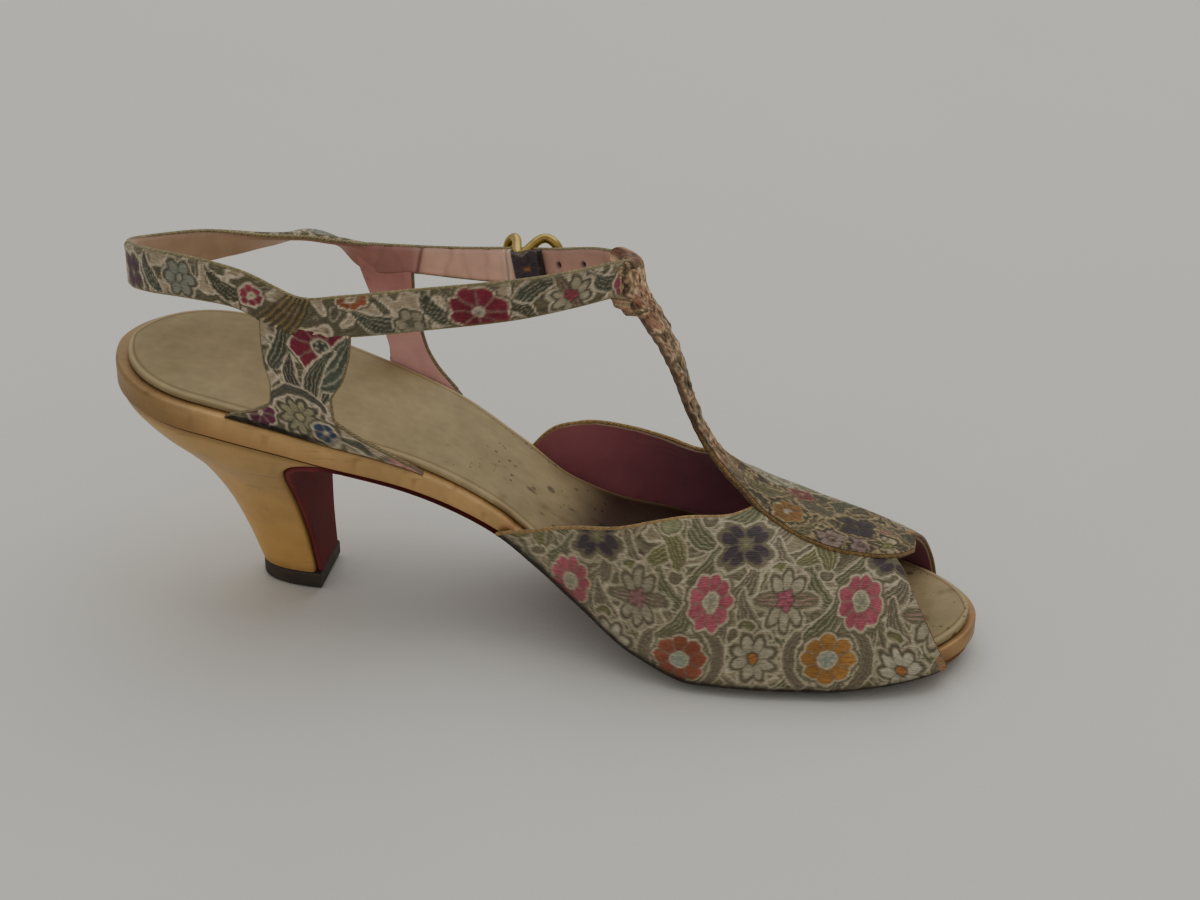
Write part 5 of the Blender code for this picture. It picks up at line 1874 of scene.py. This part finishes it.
    def lining(self, row: Array, half: Array) -> None:
        """The kid inside: tan on the sling, rose at the far post, pale pink up to the buckle, then duller.

        Args:
            row: Row numbers round the table.
            half: Half of the band's width at each row.
        """
        crown = self.crown(half, self.inner_columns, -self.thick / 2)
        points, cloth = self.ribbon(row, half, crown, self.inner_columns)
        away = self.frames(row)[3][:, None]
        run, side = cloth[..., 0], cloth[..., 1]
        tint = dyed("#ebbda9", points)
        rub(tint, ease(run, 264, 270), "#c09685")
        rub(tint, ease(run, 236, 230), "#b27e78")
        rub(tint, ease(run, 214, 200) * ease(run, 96, 112), "#bc9e83")
        rub(tint, ease(run, 100, 90), "#b98a7c")
        tint *= (1 + 0.08 * noise(run / 7, side / 4, 121) + 0.05 * noise(run / 2, side / 6, 122))[..., None]
        seam = hump(run - 233 - 0.25 * side, 0.5)
        rub(tint, 0.75 * seam, "#5e2f2e")
        shade = hump(np.abs(side) - half[:, None], 0.6)
        rub(tint, 0.5 * shade, "#7a5648")
        crease = np.zeros_like(run)
        for place, lean, deep in self.creases:
            crease += deep * hump(run - place - lean * side - 0.5 * noise(side / 3, run / 30, 123), 0.8)
        # Painted shade in the creases, which also sink the lining.
        rub(tint, 0.45 * crease, "#8c5f54")
        for place, wide, cover, code in self.seams:
            rub(tint, cover * hump(run - place - 0.08 * side, wide), code)
        # Painted shade: the holes are dark discs over shallow dents, not cut through.
        holes = sum(soft(np.hypot(run - a, side - b) - self.hole, 0.5) for a, b in self.holes)
        rub(tint, np.clip(holes, 0, 1), "#1d1512")
        sink = 0.35 * crease + 0.9 * holes + 0.25 * seam + 0.1 * noise(run / 6, side / 4, 124)
        mesher = Mesher("ankle_strap_lining")
        mesher.grid(points + away * sink[..., None], LINING, tint, facing=-away)
        mesher.build("upper")

    def cords(self, row: Array, half: Array) -> None:
        """The fine cord along both edges of the band.

        Args:
            row: Row numbers round the table.
            half: Half of the band's width at each row.
        """
        centre, _, across, _ = self.frames(row[:-1])
        mesher = Mesher("ankle_strap_cords")
        for side in (-1, 1):
            path = centre + side * across * (half[:-1, None] - 0.15)
            tint = tone("#a39468") * (1 + 0.2 * noise(row[:-1] * 3, side, 131))[:, None]
            mesher.tube(path, self.cord + 0.12, CORD, tint, sides=8, closed=True)
        mesher.build("upper")

    def tail(self) -> None:
        """The strap's free end, on the outside of the far strap."""
        row = np.linspace(*self.tail_rows, 150)
        half = self.table.round("width", row) / 2 - 0.5
        half = half * (0.35 + 0.65 * np.sqrt(np.clip((row - row[0]) / 0.28, 0.02, 1)))
        face = self.thick / 2 + self.tail_thick
        columns = self.inner_columns
        points, cloth = self.ribbon(row, half, self.crown(half, columns, face), columns)
        low = np.full((len(row), columns), self.thick / 2 - self.tail_sink)
        under, _ = self.ribbon(row, half, low, columns)
        run = cloth + np.array([120.0, 0])
        tint, relief = self.chart.paint(run)
        mesher = Mesher("strap_tail")
        mesher.grid(points, STRAP_BROCADE, tint, run, relief, facing=self.frames(row)[3][:, None])
        mesher.hem(points, under, LINING, tone("#8d7450"))
        mesher.build("upper")

    def row_at(self, x: Array, side: Side) -> Array:
        """Row number where the band passes a station on one side of the foot.

        Args:
            x: Stations.
            side: The side.

        Returns:
            The row numbers.
        """
        rows = np.linspace(*(self.near_rows if side is Side.NEAR else self.far_rows), 400)
        stations = self.table.round("station", rows)
        order = np.argsort(stations)
        return np.interp(x, stations[order], rows[order])


@dataclass
class Quarters:
    """The two posts that carry the band, from the ledge beside the sock."""

    strap: AnkleStrap
    thick: float = 1.6
    ledge: float = 1.65
    bulge: float = 1.2
    cord: float = 0.4
    rows: int = 96
    columns: int = 100
    table: Table = Table("rise near_back near_front far_back far_front", (
        (0.0, 36.0, 85.0, 65.0, 85.0),
        (0.05, 39.5, 77.0, 65.6, 81.8),
        (0.13, 44.5, 68.5, 65.4, 78.0),
        (0.24, 48.4, 63.6, 64.4, 75.2),
        (0.38, 48.8, 63.4, 63.0, 73.6),
        (0.55, 47.4, 66.6, 61.0, 72.4),
        (0.75, 46.8, 68.6, 58.8, 71.6),
        (1.0, 46.6, 69.4, 56.6, 71.6),
    ))
    chart: Chart = Chart(CRISP, (
        *leaves(
            (51.5, 26, 8.0, 80, GREEN, 0.85, 0.3),
            (55, 17, 7.0, 105, "#4f4c42", 0.7, -0.25),
            (62.5, 20, 8.6, 76, GREEN, 0.75, 0.25),
            (58.5, 14, 6.4, 60, "#5a5a42", 0.6, 0.3),
            (68.5, 2.6, 5.0, 165, GREEN, 0.7, 0.2),
        ),
        Motif(Kind.BUD, 66.4, 17.5, 3.4, 80, "#a36a5a", narrow=0.62),
        Motif(Kind.ROSETTE, 62.0, 28.5, 8.0, 0, "#7f2a3b", "#4a4f43", 9, 0.95, core=0.3),
        *leaves(
            (64.6, 24.5, 10.0, 58, "#5c6353", 1.15, 0.25),
            (61.0, 20.0, 9.6, 70, GREEN, 0.5, -0.2),
        ),
        Motif(Kind.DAISY, 55.6, 6.7, 4.8, 0, "#a39c7c", "#b3a97e", 9),
        Motif(Kind.ROSETTE, 45.6, 4.4, 3.8, 30, "#6a2f48", "#5a3040", 7, core=0.2),
        Motif(Kind.ROSETTE, 61.6, 4.0, 2.9, 0, INDIGO, "#4d6076", 5, core=0.2),
        Motif(Kind.CRESCENT, 55.6, 6.7, 7.4, 100, "#5d5a4e", narrow=1.2, bend=1.3),
    ), 5.6, 35)

    def layout(self, side: Side, across: int, up: int) -> tuple[Array, Array]:
        """A post's middle surface.

        Args:
            side: Which post.
            across: Points from its back edge to its front one.
            up: Points from the ledge to the band.

        Returns:
            The points, and their places along and up the post.
        """
        rise = np.linspace(0, 1, up)[:, None]
        back, front = (self.table.at(f"{side.name.lower()}_{end}", rise) for end in ("back", "front"))
        x = back + (front - back) * np.linspace(0, 1, across)
        foot_y = SOLE.edge(x, side.value, self.ledge)
        foot = placed(x, foot_y, SOLE.top(x, NEAR_EDGE) + GAP)
        centre = self.strap.frames(self.strap.row_at(x, side))[0]
        points = foot + (centre - foot) * rise[..., None]
        points[..., 0] = x
        points[..., 1] += side.value * self.bulge * np.sin(np.pi * rise)
        return points, placed(x, points[..., 2] - foot[..., 2])

    def build(self) -> None:
        """Makes both posts."""
        for side in Side:
            self.post(side)

    def post(self, side: Side) -> None:
        """One post: brocade outside, dusty rose kid inside, a cord along its two edges.

        Args:
            side: Which post.
        """
        points, cloth = self.layout(side, self.columns, self.rows)
        normal = sheet_normals(points)
        normal = normal * np.sign(normal[..., 1].mean() * side.value)
        tint, relief = self.chart.paint(cloth)
        # Painted shadow: near-black along the post's foot, behind station 66, where it stands off the rim.
        rub(tint, 0.95 * ease(cloth[..., 1], 2.0, 0.9) * ease(cloth[..., 0], 66, 56), "#17110d")
        rub(tint, ease(cloth[..., 0], 76.0, 78.5), "#c2938a")
        outer = points + normal * (0.5 * self.thick + 0.08 * (relief - 0.4))[..., None]
        run, rise = cloth[..., 0], cloth[..., 1]
        wave = 0.25 * noise(run / 6, rise / 9, 141) + 0.15 * noise(run / 3, rise / 3, 142)
        inner = points - normal * (0.5 * self.thick + 0.6 * wave)[..., None]
        rose = dyed("#c48a85", points)
        rub(rose, ease(rise, 24, 8), "#e0aca5")
        rose *= (1 + 0.12 * noise(run / 8, rise / 8, 143) - 0.25 * ease(np.abs(wave), 0.12, 0.3))[..., None]
        mesher = Mesher(f"post_{side.name.lower()}")
        mesher.grid(outer, STRAP_BROCADE, tint, cloth, relief, facing=normal)
        mesher.grid(inner, LINING, rose, facing=-normal)
        mesher.hem(outer, inner, LINING, tone("#6a563c"))
        for column in (0, -1):
            path = points[2:, column] + 0.15 * normal[2:, column]
            mesher.tube(path, self.cord + 0.15, CORD, tone("#9a8a60"), sides=8)
        mesher.build("upper")


@dataclass
class Buckle:
    """The brass buckle on the far strap, its prong and the strip that holds it."""

    strap: AnkleStrap
    row: float = 19.36
    wire: float = 0.95
    rim: float = 1.25
    long: float = 8.2
    high: float = 7.3
    pinch: float = 3.6
    prong: float = 0.7
    strip: float = 5.1
    prong_reach: Pair = (1.6, 8.6)
    strip_reach: Pair = (-2.4, 6.6)
    chart: Chart = Chart(Palette("#7d7066", "#2f292b", "#52494a", "#a1978a"), (
        Motif(Kind.VIOLET, 2.0, 0.4, 4.0, 0, "#4a4048", "#b8823f", 5),
    ), 3.4, 45)

    def on_strap(self, along: Array | float, across: Array | float, out: Array | float) -> Array:
        """Points given along, across and out from the strap at the buckle.

        Args:
            along: Distance along the strap.
            across: Distance across it.
            out: Distance from its middle.

        Returns:
            The points.
        """
        centre, ahead, up, away = (v[0] for v in self.strap.frames(np.array([self.row])))
        along, across, out = (v[..., None] for v in np.broadcast_arrays(along, across, out))
        return centre + ahead * along + up * across + away * out

    def build(self) -> None:
        """Makes the frame with its bar, the prong and the strip."""
        face = self.strap.thick / 2
        bar_out = -face - GAP - self.wire
        lobe_out = face + self.strap.tail_thick + GAP + self.wire
        angle = 2 * np.pi * (np.arange(160) + 0.5) / 160
        along = self.long * np.cos(angle)
        near_bar = np.exp(-((along / 2.9) ** 2))
        across = np.sign(np.sin(angle)) * np.abs(np.sin(angle)) ** 0.6 * (self.high - self.pinch * near_bar)
        ring = self.on_strap(along, across, lobe_out + (bar_out - lobe_out) * near_bar)
        tint = tone("#b39a58") * (1 + 0.2 * noise(along, across, 151))[:, None]
        frame_piece = Mesher("buckle_frame")
        frame_piece.tube(ring, self.rim, BRASS, tint, sides=16, closed=True)
        reach = np.linspace(-1, 1, 12) * (self.high - self.pinch)
        bar = self.on_strap(0.0, reach, bar_out)
        frame_piece.tube(bar, 0.8 * self.wire, BRASS, tone("#a9823c"), sides=12)
        frame_piece.build("buckle")
        self.make_prong(face, lobe_out)
        self.make_strip(face, bar_out)

    def make_prong(self, face: float, lobe_out: float) -> None:
        """The prong, from the strap over the frame's end.

        Args:
            face: Distance of the strap's face from its middle.
            lobe_out: Distance of the frame's ends.
        """
        start = face + self.strap.tail_thick + GAP + self.prong
        over = lobe_out + self.wire + GAP + self.prong
        first, last = self.prong_reach
        knots = Table("along out", (
            (first, start), (3.2, start + 0.1), (5.4, start + 0.9), (6.6, over - 0.4), (last, over),
        ))
        along = np.linspace(first, last, 40)
        path = self.on_strap(-along, 0.0, knots.at("out", along))
        radius = self.prong * np.interp(along, [first, 7, last], [1, 1, 0.75])
        mesher = Mesher("prong_bar")
        mesher.tube(path, radius, BRASS, tone("#b98f42"), sides=12)
        mesher.build("buckle_prong")

    def make_strip(self, face: float, bar_out: float) -> None:
        """The brocade strip folded round the bar, on the inside of the strap.

        Args:
            face: Distance of the strap's face from its middle.
            bar_out: Distance of the bar.
        """
        along = np.linspace(*self.strip_reach, 54)[:, None]
        sides = np.linspace(-1, 1, 40) * self.strip
        deep = bar_out - 0.8 * self.wire - GAP
        lift = -face - GAP - 0.2
        out = lift + (deep - lift) * np.exp(-((along / 1.9) ** 4)) - 0.15 * (1 - (sides / self.strip) ** 2)
        rails = [self.on_strap(along, sides[None], out - thick) for thick in (1.0, 0.0)]
        cloth = placed(along, sides[None])
        tint, relief = self.chart.paint(cloth)
        # Painted shadow: the strip's far end darkens to near-black.
        rub(tint, 0.9 * ease(cloth[..., 0], 5.2, 5.9), "#221c19")
        mesher = Mesher("buckle_strip")
        away = self.on_strap(0.0, 0.0, 1.0) - self.on_strap(0.0, 0.0, 0.0)
        mesher.grid(rails[0], STRAP_BROCADE, tint, cloth, relief, facing=-away)
        mesher.grid(rails[1], LINING, tone("#54402f"), facing=away)
        mesher.hem(rails[0], rails[1], LINING, tone("#2c2420"))
        mesher.build("buckle_chape")


# The studio

@dataclass
class Studio:
    """A pale floor, soft light and the camera."""

    azimuth: float = 10.6
    elevation: float = 29.7
    roll: float = 0.4
    distance: float = 0.664
    aim: Place = (-0.0005, -0.0015, 0.05)
    slide: Pair = (0.01425, -0.005)
    lens: float = 78.0
    floor_size: float = 6.0
    floor_drop: float = 0.0002
    lights: tuple[tuple[str, Place, float, float], ...] = (
        ("key", (0.1, 0.8, 1.65), 2.2, 14),
        ("fill", (-0.4, -1.5, 1.2), 2.0, 0.3),
    )
    room_colour: tuple[float, float, float, float] = (0.90, 0.885, 0.86, 1)
    room_strength: float = 0.52

    def build(self) -> None:
        """Makes the floor, the lights and the camera."""
        self.floor()
        for light in self.lights:
            self.light(*light)
        world = bpy.data.worlds.new("soft_room")
        world.use_nodes = True
        room = world.node_tree.nodes["Background"]
        room.inputs["Color"].default_value = self.room_colour
        room.inputs["Strength"].default_value = self.room_strength
        bpy.context.scene.world = world
        self.camera()

    def floor(self) -> None:
        """A plain floor, wide enough to fill the view."""
        mesh = bpy.data.meshes.new("floor")
        half, low = self.floor_size / 2, -self.floor_drop
        corners = [(-half, -half, low), (half, -half, low), (half, half, low), (-half, half, low)]
        mesh.from_pydata(corners, [], [(0, 1, 2, 3)])
        colours = mesh.attributes.new("tint", "FLOAT_COLOR", "POINT")
        colours.data.foreach_set("color", np.tile([*tone("#e3e1da"), 1], 4))
        mesh.materials.append(FLOOR_CLOTH.material())
        piece = bpy.data.objects.new("floor", mesh)
        bpy.context.scene.collection.objects.link(piece)

    def light(self, name: str, place: Place, size: float, power: float) -> None:
        """A square soft light that looks at the shoe.

        Args:
            name: The light's name.
            place: Where it hangs, in metres.
            size: Length of its side.
            power: Its watts.
        """
        lamp = bpy.data.lights.new(name, "AREA")
        lamp.size = size
        lamp.energy = power
        piece = bpy.data.objects.new(name, lamp)
        piece.location = place
        piece.rotation_euler = (Vector((0, 0, 0.03)) - Vector(place)).to_track_quat("-Z", "Y").to_euler()
        bpy.context.scene.collection.objects.link(piece)

    def camera(self) -> None:
        """The camera, at the photograph's angle."""
        az, el, roll = (math.radians(v) for v in (self.azimuth, self.elevation, self.roll))
        back = Vector((math.sin(az) * math.cos(el), -math.cos(az) * math.cos(el), math.sin(el)))
        right = Vector((math.cos(az), math.sin(az), 0))
        up = back.cross(right)
        right, up = right * math.cos(roll) + up * math.sin(roll), up * math.cos(roll) - right * math.sin(roll)
        place = Vector(self.aim) + right * self.slide[0] + up * self.slide[1] + back * self.distance
        data = bpy.data.cameras.new("camera")
        data.lens = self.lens
        data.sensor_width = 36.0
        data.sensor_fit = "HORIZONTAL"
        piece = bpy.data.objects.new("camera", data)
        turn = Matrix((right, up, back)).transposed().to_4x4()
        piece.matrix_world = Matrix.Translation(place) @ turn
        bpy.context.scene.collection.objects.link(piece)
        bpy.context.scene.camera = piece


def main() -> None:
    """Builds every piece in order."""
    logging.basicConfig(level=logging.INFO, format="%(name)s %(message)s")
    heel, vamp, strap = Heel(), Vamp(), AnkleStrap()
    Bottom().build(heel)
    heel.build()
    vamp.build()
    TStrap(vamp).build()
    strap.build()
    Quarters(strap).build()
    Buckle(strap).build()
    Studio().build()


if __name__ == "__main__":
    main()
